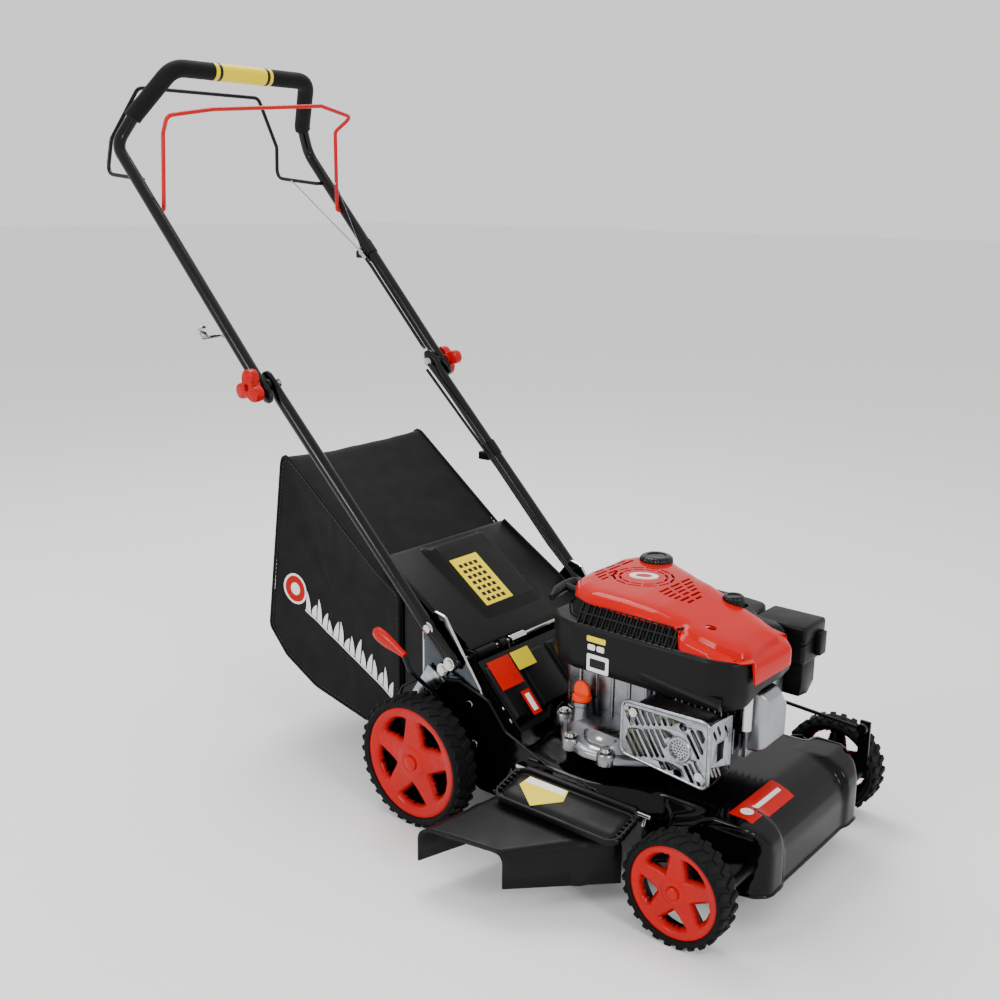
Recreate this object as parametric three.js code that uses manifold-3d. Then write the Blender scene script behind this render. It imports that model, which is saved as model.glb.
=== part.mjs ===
// Walk-behind rotary lawn mower with a 40 cm cut, as separate named pieces.
// Millimetres. X across the machine (+X is the operator's left), +Y to the handle, +Z up.
// While it is built, y = 0 is the rear axle and z = 0 the ground; the last lines move the
// origin to the middle of the footprint.
import * as THREE from 'three';
import { mergeVertices } from 'three/addons/utils/BufferGeometryUtils.js';
import Module from 'manifold-3d';

const wasm = await Module();
wasm.setup();

// ---- driving dimensions ----
const gap = 0.3; // between pieces that touch
const rearWheel = { radius: 100, rimRadius: 86, width: 45, outerX: 247, y: 0 };
const frontWheel = { radius: 74.5, rimRadius: 63, width: 42, outerX: 251, y: -458 };
const hubBore = 6.4; // clears a stub axle of stubRadius
const stubRadius = 6;
const wheelSides = 24;
const crankY = -241;
const domeRadius = 208;
const sheet = 3; // pressed steel and moulded wall thickness
const rimHeight = 50; // ground to the deck's lower edge
const plateauZ = 164; // where the engine sits
const bladeLength = 392;
const bladeWidth = 52;
const bladeZ = 62;
const crankRadius = 12.5;
const plateX = 173.2; // outer face of the handle brackets
const tubeRadius = 10.2;
const tubeWall = 1.6;
const foamRadius = 14.6;
const bailRadius = 3.5;
const foldPivot = { y: 351, z: 625 };
const driveBailPivot = { y: 660, z: 940 };
const brakeBailPivot = { y: 605, z: 890 };
const flapPivot = { y: -38, z: 252 };
const sideFlapPivot = { x: -190, z: 130 };
const liftPivotRear = { y: -54, z: 110 }; // rear axle swings about this to change the cut height
const liftPivotFront = { y: -512, z: 84.5 };
const liftPinRise = 75; // the link rod's pins stand this far above those pivots
const tubeBolts = [[12, 295], [-31, 250]]; // y and z of the bolts through each lower tube
const bagHalf = 158;

// ---- helpers ----
const v = (x, y, z) => new THREE.Vector3(x, y, z);

function solidOf(geometry) {
  const plain = geometry.index ? geometry.toNonIndexed() : geometry.clone();
  plain.deleteAttribute('normal');
  plain.deleteAttribute('uv');
  const merged = mergeVertices(plain, 1e-3);
  return new wasm.Manifold(new wasm.Mesh({
    numProp: 3,
    vertProperties: new Float32Array(merged.attributes.position.array),
    triVerts: new Uint32Array(merged.index.array),
  }));
}

function geometryOf(solid) {
  const mesh = solid.getMesh();
  const geometry = new THREE.BufferGeometry();
  geometry.setAttribute('position', new THREE.BufferAttribute(new Float32Array(mesh.vertProperties), 3));
  geometry.setIndex(new THREE.BufferAttribute(new Uint32Array(mesh.triVerts), 1));
  geometry.computeVertexNormals();
  return geometry;
}

function join(...geometries) {
  return geometryOf(geometries.map(solidOf).reduce((whole, next) => whole.add(next)));
}

function cut(geometry, ...tools) {
  return geometryOf(tools.map(solidOf).reduce((whole, tool) => whole.subtract(tool), solidOf(geometry)));
}

function meet(...geometries) {
  return geometryOf(geometries.map(solidOf).reduce((whole, next) => whole.intersect(next)));
}

// a box given by its two ends along X, Y and Z
function block(x0, x1, y0, y1, z0, z1) {
  return new THREE.BoxGeometry(x1 - x0, y1 - y0, z1 - z0)
    .translate((x0 + x1) / 2, (y0 + y1) / 2, (z0 + z1) / 2);
}

// a round bar along an axis: the two other coordinates are given in X, Y, Z order
function bar(axis, from, to, radius, a, b, sides = 16, endRadius = radius) {
  const geometry = new THREE.CylinderGeometry(endRadius, radius, to - from, sides);
  geometry.rotateY(Math.PI / sides);
  const middle = (from + to) / 2;
  if (axis === 'x') return geometry.rotateZ(-Math.PI / 2).translate(middle, a, b);
  if (axis === 'y') return geometry.translate(a, middle, b);
  return geometry.rotateX(Math.PI / 2).translate(a, b, middle);
}

// a flat plate with the outline given in the two axes across its thickness
function plate(axis, from, to, outline, holes = []) {
  const shape = outline instanceof THREE.Shape ? outline
    : new THREE.Shape(outline.map(([a, b]) => new THREE.Vector2(a, b)));
  shape.holes.push(...holes);
  const depth = to - from;
  const geometry = new THREE.ExtrudeGeometry(shape, { depth, bevelEnabled: false, curveSegments: 6 });
  if (axis === 'x') {
    geometry.applyMatrix4(new THREE.Matrix4().makeBasis(v(0, 1, 0), v(0, 0, 1), v(1, 0, 0)));
    return geometry.translate(from, 0, 0);
  }
  if (axis === 'y') return geometry.rotateX(Math.PI / 2).translate(0, to, 0);
  return geometry.translate(0, 0, from);
}

// corners joined by straight stretches, each corner turned into an arc of short steps
function rounded(corners, bendRadius, steps = 4) {
  const points = [corners[0]];
  for (let i = 1; i < corners.length - 1; i += 1) {
    const corner = corners[i];
    const back = corners[i - 1].clone().sub(corner);
    const ahead = corners[i + 1].clone().sub(corner);
    const turn = Math.PI - back.angleTo(ahead);
    const reach = Math.min(bendRadius * Math.tan(turn / 2), 0.48 * back.length(), 0.48 * ahead.length());
    const curve = new THREE.QuadraticBezierCurve3(
      corner.clone().add(back.setLength(reach)), corner, corner.clone().add(ahead.setLength(reach)));
    points.push(...curve.getPoints(steps));
  }
  points.push(corners[corners.length - 1]);
  return points;
}

// passes through its points in turn, one step of an extrusion to each
class BentPath extends THREE.Curve {
  constructor(points) {
    super();
    this.points = points;
  }

  getPoint(t, target = v(0, 0, 0)) {
    const place = t * (this.points.length - 1);
    const index = Math.min(Math.floor(place), this.points.length - 2);
    return target.lerpVectors(this.points[index], this.points[index + 1], place - index);
  }

  getUtoTmapping(u) {
    return u;
  }
}

function tube(points, radius, sides = 10) {
  const ring = new THREE.Shape();
  for (let i = 0; i < sides; i += 1) {
    const angle = (2 * Math.PI * i) / sides;
    const step = i ? 'lineTo' : 'moveTo';
    ring[step](radius * Math.cos(angle), radius * Math.sin(angle));
  }
  const options = { steps: points.length - 1, extrudePath: new BentPath(points), bevelEnabled: false };
  return new THREE.ExtrudeGeometry(ring, options);
}

const mirrored = (points) => points.map((p) => v(-p.x, p.y, p.z)).reverse();

function turned(profile, sides, x = 0, y = 0, z = 0) {
  const points = profile.map(([radius, height]) => new THREE.Vector2(radius, height));
  return new THREE.LatheGeometry(points, sides).rotateX(Math.PI / 2).translate(x, y, z);
}

const finishes = {
  blackGloss: { color: 0x15161a, roughness: 0.25, metalness: 0.3 },
  blackPlastic: { color: 0x1b1c1f, roughness: 0.55, metalness: 0 },
  blackMetal: { color: 0x141518, roughness: 0.45, metalness: 0.6 },
  blackFoam: { color: 0x1c1c1d, roughness: 0.95, metalness: 0 },
  bagFabric: { color: 0x202125, roughness: 0.95, metalness: 0 },
  red: { color: 0xb3161c, roughness: 0.35, metalness: 0 },
  orange: { color: 0xd2521b, roughness: 0.45, metalness: 0 },
  zinc: { color: 0xa9abad, roughness: 0.4, metalness: 0.9 },
  castAluminium: { color: 0x9a9c9e, roughness: 0.55, metalness: 0.85 },
  steel: { color: 0x77797c, roughness: 0.4, metalness: 0.95 },
  tyre: { color: 0x1a1a1b, roughness: 0.85, metalness: 0 },
};

const mower = new THREE.Group();

function add(name, geometry, finish) {
  const mesh = new THREE.Mesh(geometry, new THREE.MeshStandardMaterial(finishes[finish]));
  mesh.name = name;
  mower.add(mesh);
}

// ---- deck: a pressed shell, open below, to the rear tunnel and to the side chute ----
function deckShell(inset) {
  const top = plateauZ - inset;
  const dome = turned([
    [0, rimHeight - inset * 2], [domeRadius - inset, rimHeight - inset * 2], [domeRadius - inset, 84],
    [204 - inset, 112], [194 - inset, 132 - inset / 2], [180 - inset / 2, 143 - inset],
    [158, 141 - inset], [132 - inset / 2, 150 - inset], [122 - inset / 2, top], [0, top],
  ], 30, 0, crankY);
  const apron = plate('x', -140 + inset, 140 - inset, [
    [-533 + inset, rimHeight - inset * 2], [-532 + inset, 92], [-514 + inset / 2, 126 - inset / 2],
    [-474, 144 - inset], [-360, 141 - inset], [-360, rimHeight - inset * 2]]);
  const fenders = [-1, 1].map((side) => {
    const [inner, outer] = [side * (98 + inset), side * (160 - inset)].sort((a, b) => a - b);
    return plate('x', inner, outer, [
      [-537 + inset, rimHeight - inset * 2], [-537 + inset, 104], [-524 + inset / 2, 132 - inset / 2],
      [-501, 144 - inset], [-455, 144 - inset], [-432, 128 - inset], [-396, 112 - inset],
      [-396, rimHeight - inset * 2]]);
  });
  return join(dome, apron, ...fenders);
}

function buildDeck() {
  const sideExit = block(-240, -150, -362, -170, rimHeight - 8, 104);
  const hingeSeat = block(-240, sideFlapPivot.x + 6.6, -391, -158, 104, 141);
  const rearExit = block(-57, 140, -80, 0, 66, 133);
  const beltSlot = block(-126, -58, -95, -20, 114, 133);
  const liftHole = bar('x', -230, 230, stubRadius + 0.8, liftPivotFront.y, liftPivotFront.z);
  const crankHole = bar('z', 120, 200, 22, 0, crankY);
  const openings = [sideExit, hingeSeat, rearExit, beltSlot, liftHole, crankHole];
  add('deck', cut(deckShell(0), deckShell(sheet), ...openings), 'blackGloss');
}

// ---- rear body: side walls and floor of the discharge tunnel, and its cover ----
function buildRearBody() {
  const wallOutline = [[-86, 128], [95, 128], [95, 313], [-26, 241], [-26, 262], [-50, 262], [-50, 242],
    [-134, 152], [-86, 149.5]];
  const walls = [[-153, -150], [150, 153]].map(([from, to]) => plate('x', from, to, wallOutline));
  const floor = block(-151, 151, -28, 95, 136, 139);
  const partition = plate('x', -63, -60, [[-28, 137], [94, 137], [94, 290], [-28, 222]]);
  const pinHole = bar('x', -160, 160, 4.4, flapPivot.y, flapPivot.z);
  add('rear_tunnel', cut(join(...walls, floor, partition), pinHole), 'blackPlastic');
  const slope = [[-132, 156], [-50, 243.5], [-52, 246], [-136, 158.5]];
  const engineSeat = bar('z', 140, 172, 131, 0, crankY, 30);
  add('rear_cover', cut(plate('x', -149.6, 149.6, slope), engineSeat), 'blackPlastic');
  add('flap_hinge_rod', bar('x', -162, 162, 4, flapPivot.y, flapPivot.z, 12), 'zinc');
}

function buildRearFlap() {
  const rearEdge = { y: 150, z: 365 };
  const length = Math.hypot(rearEdge.y - flapPivot.y, rearEdge.z - flapPivot.z);
  const along = { y: (rearEdge.y - flapPivot.y) / length, z: (rearEdge.z - flapPivot.z) / length };
  const at = (distance, lift) => [flapPivot.y + along.y * distance - along.z * lift,
    flapPivot.z + along.z * distance + along.y * lift];
  const skin = plate('x', -149, 149, [at(0, 3), at(length, 3), at(length, 6), at(0, 7.5)]);
  const hump = plate('x', -62, 62, [at(34, 5), at(length - 8, 5), at(length - 30, 24), at(60, 14)]);
  const sideRims = [[-149, -145], [145, 149]].map(([from, to]) => (
    plate('x', from, to, [at(8, 5), at(length, 5), at(length, 11), at(8, 11)])));
  const knuckles = [[-140, -70], [70, 140]].map(([from, to]) => (
    bar('x', from, to, 7.5, flapPivot.y, flapPivot.z, 12)));
  const relief = block(-149.5, -140, -50, -26, 240, 268);
  const farRelief = block(140, 149.5, -50, -26, 240, 268);
  const middleRelief = block(-70, 70, -50, -29, 240, 268);
  const pinHole = bar('x', -160, 160, 4.4, flapPivot.y, flapPivot.z);
  const whole = join(skin, hump, ...sideRims, ...knuckles);
  add('rear_flap', cut(whole, relief, farRelief, middleRelief, pinHole), 'blackPlastic');
}

// ---- side discharge: flap on its rod, and the chute held under it ----
function buildSideDischarge() {
  const { x, z } = sideFlapPivot;
  const skin = plate('y', -380, -168, [[x - 2, z - 1], [x - 70, z - 20], [x - 71, z - 17], [x - 2, z + 3]]);
  const ribs = [[-380, -376], [-172, -168]].map(([from, to]) => (
    plate('y', from, to, [[x - 4, z + 1], [x - 70, z - 18], [x - 71, z - 11], [x - 4, z + 7]])));
  const barrel = bar('y', -368, -180, 6, x, z, 12);
  add('side_flap', cut(join(skin, ...ribs, barrel), bar('y', -390, -160, 3.5, x, z, 12)), 'blackPlastic');
  add('side_flap_rod', bar('y', -388, -162, 3, x, z, 10), 'zinc');

  // a funnel seen from above, its roof falling away from the deck
  const roof = (drop) => plate('y', -400, -100, [[-380, 20], [-380, 87 - drop], [-200, 110 - drop],
    [-200, 20]]);
  const outer = plate('z', 39, 130, [[-356, -123], [-336, -256], [-222, -366], [-222, -160]]);
  const inner = plate('z', 30, 130, [[-376, -126], [-356, -253.5], [-334, -253.5], [-216, -367], [-216, -163],
    [-352, -126]]);
  add('side_chute', cut(meet(outer, roof(0)), meet(inner, roof(sheet))), 'blackPlastic');
}

// ---- handle brackets and lower tubes ----
function buildHandleMounts() {
  const outline = [[-76, 217], [-8, 312], [14, 317], [36, 290], [36, 184], [-30, 180], [-36, 98], [-72, 98],
    [-95, 150], [-92, 182]];
  for (const [side, name] of [[-1, 'right'], [1, 'left']]) {
    const [from, to] = [side * (plateX - sheet), side * plateX].sort((a, b) => a - b);
    const [shelfFrom, shelfTo] = [side * 153.4, side * (plateX - 1)].sort((a, b) => a - b);
    const shelf = block(shelfFrom, shelfTo, -30, 34, 186, 189);
    const through = (y, z, radius) => bar('x', from - 5, to + 5, radius, y, z, 10);
    const holes = [...tubeBolts, [-4, 229]].map(([y, z]) => through(y, z, 4.5));
    const pivotHole = through(liftPivotRear.y, liftPivotRear.z, stubRadius + 0.7);
    const pressed = join(plate('x', from, to, outline), shelf);
    add(`${name}_handle_bracket`, cut(pressed, ...holes, pivotHole), 'zinc');

    const x = plateX + gap + tubeRadius;
    const foot = v(side * x, -39, 242);
    const knob = v(side * (x + 5.5), foldPivot.y, foldPivot.z);
    const away = knob.clone().sub(foot).setLength(24);
    const end = knob.clone().add(away);
    const boltHoles = tubeBolts.map(([y, z]) => bar('x', ...spanOf(side, 160, 200), 4.5, y, z, 8));
    const knobHole = bar('x', ...spanOf(side, 160, 230), 4.8, foldPivot.y, foldPivot.z, 10);
    const hollow = tube([foot.clone().sub(away), end.clone().add(away)], tubeRadius - tubeWall, 6);
    const lower = cut(tube([foot, end], tubeRadius, 10), hollow, ...boltHoles, knobHole);
    add(`${name}_lower_tube`, lower, 'blackGloss');
  }
}

function spanOf(side, near, far) {
  return [side * near, side * far].sort((a, b) => a - b);
}

// ---- upper handle, its foam grip and rope hook ----
const upperX = plateX + gap * 2 + tubeRadius * 3 + 6;
const sideStretch = [v(-upperX, 329, 602), v(-upperX - 3, 703, 996), v(-186, 688, 1044), v(-146, 627, 1121)];
const handleRoute = rounded([...sideStretch, ...mirrored(sideStretch)], 34, 2);

function buildUpperHandle() {
  const ends = [handleRoute[0], handleRoute[handleRoute.length - 1]];
  const inner = handleRoute.map((p) => p.clone());
  inner[0].add(v(0, -20, -21));
  inner[inner.length - 1].add(v(0, -20, -21));
  const holes = ends.flatMap((end) => {
    const side = Math.sign(end.x);
    return [
      bar('x', ...spanOf(side, 190, 240), 4.8, foldPivot.y, foldPivot.z, 10),
      bar('x', ...spanOf(side, 190, upperX + 2), bailRadius + 1, driveBailPivot.y, driveBailPivot.z, 10),
      bar('x', ...spanOf(side, 190, upperX + 2), bailRadius + 1, brakeBailPivot.y, brakeBailPivot.z, 10),
    ];
  });
  const pipe = cut(tube(handleRoute, tubeRadius, 10), tube(inner, tubeRadius - tubeWall, 6), ...holes);
  add('upper_handle', pipe, 'blackGloss');

  const first = handleRoute.findIndex((p) => p.z > 1020);
  const covered = handleRoute.slice(first, handleRoute.length - first);
  const core = tube(handleRoute, tubeRadius + gap, 10);
  add('foam_grip', cut(tube(covered, foamRadius, 10), core), 'blackFoam');
}

function buildKnobs() {
  for (const [side, name, angle] of [[-1, 'right', 1.5], [1, 'left', 0.8]]) {
    const stud = bar('x', ...spanOf(side, 174, 226), 4, foldPivot.y, foldPivot.z, 10);
    const face = upperX + tubeRadius + gap;
    const hub = bar('x', ...spanOf(side, face, face + 8), 11, foldPivot.y, foldPivot.z, 14);
    const long = { y: 29 * Math.cos(angle), z: 29 * Math.sin(angle) };
    const wide = { y: -8 * Math.sin(angle), z: 8 * Math.cos(angle) };
    const corner = (a, b) => [foldPivot.y + a * long.y + b * wide.y, foldPivot.z + a * long.z + b * wide.z];
    const wing = plate('x', ...spanOf(side, face + 4, face + 19), [
      corner(-1, -1), corner(-0.4, -0.8), corner(0.4, -0.8), corner(1, -1),
      corner(1, 1), corner(0.4, 0.8), corner(-0.4, 0.8), corner(-1, 1)]);
    add(`${name}_knob`, join(stud, hub, wing), 'red');
  }
}

// ---- the two control bails, let go ----
function buildBails() {
  const driveSide = [v(-upperX + 3, 660, 940), v(-191, 660, 940), v(-185, 771, 948), v(-130, 750, 1097)];
  const driveRoute = rounded([...driveSide, ...mirrored(driveSide)], 16, 2);
  add('drive_bail', tube(driveRoute, bailRadius, 6), 'blackMetal');
  const brakeSide = (side, rise) => [v(side * (upperX - 3), 605, 890), v(side * 195, 605, 890),
    v(side * 191, 601, 1022 + rise), v(side * 203, 570, 1048 + rise), v(side * 120, 560, 1062 + rise)];
  const brakeRoute = rounded([...brakeSide(-1, -8), ...brakeSide(1, 12).reverse()], 12, 2);
  add('brake_bail', tube(brakeRoute, bailRadius, 6), 'red');
}

// ---- control cables, in two lengths each, meeting where the handle folds ----
function buildCables() {
  const tubeAt = (y, x) => v(x, y, 602 + ((y - 329) * (996 - 602)) / (703 - 329));
  const beside = (y, across, below) => tubeAt(y, upperX - across).add(v(0, 0.72 * below, -0.69 * below));
  const upperRoutes = {
    drive_cable_upper: [v(190, 640, 918), beside(560, 12, 8), beside(378, 12, 8)],
    brake_cable_upper: [beside(578, 3, 15), beside(530, 3, 14), beside(378, 3, 14)],
  };
  for (const [name, route] of Object.entries(upperRoutes)) {
    add(name, tube(rounded(route, 30, 2), 2.8, 6), 'blackPlastic');
  }
  const lowerRoutes = {
    drive_cable_lower: [v(172, 346, 622), v(168, 255, 543), v(165, 180, 470), v(161, 60, 352),
      v(158, -10, 292), v(157, -60, 294), v(140, -95, 300), v(88, -125, 308), v(46, -152, 318)],
    brake_cable_lower: [v(181, 358, 610), v(174, 262, 528), v(171, 180, 456), v(168, 60, 338),
      v(166, -10, 280), v(164, -64, 284), v(146, -100, 290), v(104, -126, 298), v(74, -154, 308)],
  };
  for (const [name, route] of Object.entries(lowerRoutes)) {
    const curve = new THREE.CatmullRomCurve3(route, false, 'centripetal');
    add(name, tube(curve.getPoints(16), 2.8, 6), 'blackPlastic');
  }
}

// ---- wheels ----
function buildWheel(name, wheel, side) {
  const { radius, rimRadius, width, outerX, y } = wheel;
  const inner = outerX - width;
  const facet = 1 / Math.cos(Math.PI / wheelSides); // flats touch the ground at the full radius
  const crown = radius * facet;
  const half = width / 2;
  const placed = (geometry) => {
    geometry.rotateY(Math.PI / 2).translate(side * (inner + half), y, radius);
    return geometry;
  };
  const ring = (profile) => {
    const closed = [...profile, profile[0]].map(([r, x]) => new THREE.Vector2(r, x));
    return new THREE.LatheGeometry(closed, wheelSides).rotateX(Math.PI / 2).rotateZ(Math.PI / wheelSides);
  };
  const seat = (rimRadius + gap) * facet;
  const treadProfile = [[seat, -half + 3], [crown - 5, -half], [crown, -half + 8], [crown, half - 8],
    [crown - 5, half], [seat, half - 3]];
  add(`${name}_tyre`, placed(ring(treadProfile)), 'tyre');

  const barrel = ring([[rimRadius - 5, -half + 6], [rimRadius, -half + 6], [rimRadius, half - 5],
    [rimRadius - 5, half - 5]]);
  const disc = new THREE.Shape();
  disc.absarc(0, 0, rimRadius - 3, 0, 2 * Math.PI, false);
  const windows = [0, 1, 2, 3, 4].map((i) => {
    const mid = (2 * Math.PI * (i + 0.5)) / 5 + Math.PI / 2;
    const point = (r, angle) => new THREE.Vector2(r * Math.cos(mid + angle), r * Math.sin(mid + angle));
    const corners = [[0.37, 0], [0.8, 0.47], [0.86, 0.2], [0.86, -0.2], [0.8, -0.47]];
    return new THREE.Path(corners.map(([share, angle]) => point(rimRadius * share, angle)).reverse());
  });
  disc.holes.push(...windows);
  const flat = side * half - side * 15;
  const spokes = new THREE.ExtrudeGeometry(disc, { depth: 8, bevelEnabled: false, curveSegments: 6 })
    .translate(0, 0, Math.min(flat, flat + side * 8));
  const hubRadius = rimRadius * 0.26;
  const hub = new THREE.CylinderGeometry(hubRadius, hubRadius, width + 2, 10).rotateX(Math.PI / 2)
    .translate(0, 0, -side);
  const bore = new THREE.CylinderGeometry(hubBore, hubBore, width * 2, 10).rotateX(Math.PI / 2);
  add(`${name}_rim`, placed(cut(join(barrel, spokes, hub), bore)), 'red');
}

// ---- axles, cut height lever and link rod ----
function buildAxles() {
  const armX = [179.6, 184.2];
  const stubEnd = 243;
  const rearY = rearWheel.y;
  const rearZ = rearWheel.radius;
  const arm = (pivot, wheelY, wheelZ) => {
    const along = new THREE.Vector2(wheelY - pivot.y, wheelZ - pivot.z).normalize().multiplyScalar(11);
    return [[pivot.y - along.x, pivot.z - along.y - 9], [wheelY + along.x, wheelZ + along.y - 11],
      [wheelY + along.x, wheelZ + along.y + 11], [pivot.y - along.x, pivot.z - along.y + 9]];
  };
  const upArm = (pivot) => [[pivot.y - 9, pivot.z - 4], [pivot.y + 9, pivot.z - 4],
    [pivot.y + 8, pivot.z + liftPinRise + 8], [pivot.y - 8, pivot.z + liftPinRise + 8]];
  const rearPieces = [bar('x', -armX[1], armX[1], 9, rearY, rearZ, 14),
    bar('x', -stubEnd, stubEnd, stubRadius, rearY, rearZ, 14)];
  for (const side of [-1, 1]) {
    const [from, to] = spanOf(side, ...armX);
    rearPieces.push(plate('x', from, to, arm(liftPivotRear, rearY, rearZ)));
    const pinSpan = spanOf(side, 160, armX[1] - 1);
    rearPieces.push(bar('x', ...pinSpan, stubRadius, liftPivotRear.y, liftPivotRear.z, 14));
  }
  rearPieces.push(plate('x', ...armX, upArm(liftPivotRear)));
  rearPieces.push(bar('x', armX[0] + 1, 199, 3, liftPivotRear.y, liftPivotRear.z + liftPinRise, 10));
  add('rear_axle', join(...rearPieces), 'steel');

  const gearCase = join(block(-132, -80, -22, 24, 84, 116), bar('z', 115, 119, 12, -105, 2, 12),
    bar('z', 118, 132, 27.6, -105, 2, 24));
  add('gearbox', cut(gearCase, bar('x', -140, -70, 9 + gap, rearY, rearZ, 14)), 'castAluminium');

  const frontArmX = [202.6, 207];
  const frontY = frontWheel.y;
  const frontZ = frontWheel.radius;
  const frontPieces = [bar('x', -frontArmX[1] + 1, frontArmX[1] - 1, stubRadius, liftPivotFront.y,
    liftPivotFront.z, 14)];
  for (const side of [-1, 1]) {
    frontPieces.push(plate('x', ...spanOf(side, ...frontArmX), arm(liftPivotFront, frontY, frontZ)));
    const stubSpan = spanOf(side, frontArmX[0] + 1, stubEnd + 4);
    frontPieces.push(bar('x', ...stubSpan, stubRadius, frontY, frontZ, 14));
  }
  frontPieces.push(plate('x', ...frontArmX, upArm(liftPivotFront)));
  frontPieces.push(bar('x', 186, frontArmX[0] + 2, 3, liftPivotFront.y, liftPivotFront.z + liftPinRise, 10));
  add('front_axle', join(...frontPieces), 'steel');

  const rearPin = v(192, liftPivotRear.y, liftPivotRear.z + liftPinRise);
  const frontPin = v(192, liftPivotFront.y, liftPivotFront.z + liftPinRise);
  const eyes = [rearPin, frontPin].map((pin) => bar('x', 189, 195, 8, pin.y, pin.z, 12));
  const pinHoles = [rearPin, frontPin].map((pin) => bar('x', 180, 204, 3.4, pin.y, pin.z, 10));
  add('height_link_rod', cut(join(tube([rearPin, frontPin], 3, 8), ...eyes), ...pinHoles), 'blackMetal');

  const stem = rounded([v(-188.5, -46, 116), v(-190, 0, 196), v(-222, 18, 236), v(-225, 27, 258)], 18, 3);
  const leverFoot = bar('x', -187.5, -184.6, 11, liftPivotRear.y, liftPivotRear.z, 14);
  add('height_lever', join(tube(stem, 3.6, 8), leverFoot), 'blackMetal');
  const thin = v(-225, 27.3, 258.3);
  const thick = v(-225, 88, 281);
  const grip = new THREE.LatheGeometry([[0, 0], [5, 0], [7.5, 18], [9.5, 40], [8.5, 57], [4, 64], [0, 65]]
    .map(([radius, height]) => new THREE.Vector2(radius, height)), 14);
  const turn = new THREE.Quaternion().setFromUnitVectors(v(0, 1, 0), thick.sub(thin).normalize());
  add('lever_grip', grip.applyQuaternion(turn).translate(thin.x, thin.y + 1.5, thin.z + 2.6), 'red');
  const quadrant = [[-12, 214], [4, 196], [42, 158], [60, 172], [22, 232]];
  add('height_plate', plate('x', -178.6, -175.6, quadrant), 'zinc');
}

// ---- blade and everything on the crankshaft ----
function buildRotor() {
  add('crankshaft', bar('z', 67, 346, crankRadius, 0, crankY, 20), 'steel');
  const around = (z0, z1) => bar('z', z0, z1, crankRadius + gap, 0, crankY, 20);
  const adapter = join(bar('z', 70, 119, 19, 0, crankY, 20), bar('z', 118, 132, 19.6, 0, crankY, 20),
    bar('z', 67, 71, 30, 0, crankY, 20));
  add('blade_adapter', cut(adapter, around(60, 140)), 'castAluminium');
  const half = bladeLength / 2;
  const middle = bladeWidth / 2;
  const wing = plate('z', bladeZ, bladeZ + 4, [[-half, crankY - middle], [half, crankY - middle],
    [half, crankY + middle], [-half, crankY + middle]]);
  const liftTabs = [-1, 1].map((side) => plate('x', ...spanOf(side, half - 70, half), [
    [crankY + side * (middle - 14), bladeZ + 2], [crankY + side * middle, bladeZ + 15],
    [crankY + side * (middle - 3), bladeZ + 15], [crankY + side * (middle - 18), bladeZ + 2]]
    ));
  const boltHole = bar('z', bladeZ - 5, bladeZ + 10, 6, 0, crankY, 14);
  add('blade', cut(join(wing, ...liftTabs), boltHole), 'steel');
  add('blade_bolt', join(bar('z', 53, bladeZ - gap, 14, 0, crankY, 6),
    bar('z', bladeZ - 1, 66.7, 5.5, 0, crankY, 12)), 'zinc');
  const flywheel = join(bar('z', 306, 322, 70, 0, crankY, 28), bar('z', 321, 336, 40, 0, crankY, 20));
  add('flywheel', cut(flywheel, around(300, 345)), 'castAluminium');
  add('starter_pulley', cut(bar('z', 350, 362, 34, 0, crankY, 24), bar('z', 340, 370, 8, 0, crankY, 12)),
    'blackPlastic');
}

function buildBelt() {
  const loop = (near, far) => {
    const a = new THREE.Vector2(0, crankY);
    const b = new THREE.Vector2(-105, 2);
    const heading = b.clone().sub(a);
    const tilt = Math.acos((near - far) / heading.length());
    const points = [];
    for (const [centre, radius, from, to] of [[b, far, -tilt, tilt], [a, near, tilt, 2 * Math.PI - tilt]]) {
      for (let i = 0; i <= 10; i += 1) {
        const angle = heading.angle() + from + ((to - from) * i) / 10;
        const spoke = new THREE.Vector2(Math.cos(angle), Math.sin(angle)).multiplyScalar(radius);
        points.push(spoke.add(centre));
      }
    }
    return points;
  };
  const outer = new THREE.Shape(loop(24, 32));
  outer.holes.push(new THREE.Path(loop(20.2, 28.2).reverse()));
  add('drive_belt', plate('z', 121, 129, outer), 'blackPlastic');
}

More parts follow.
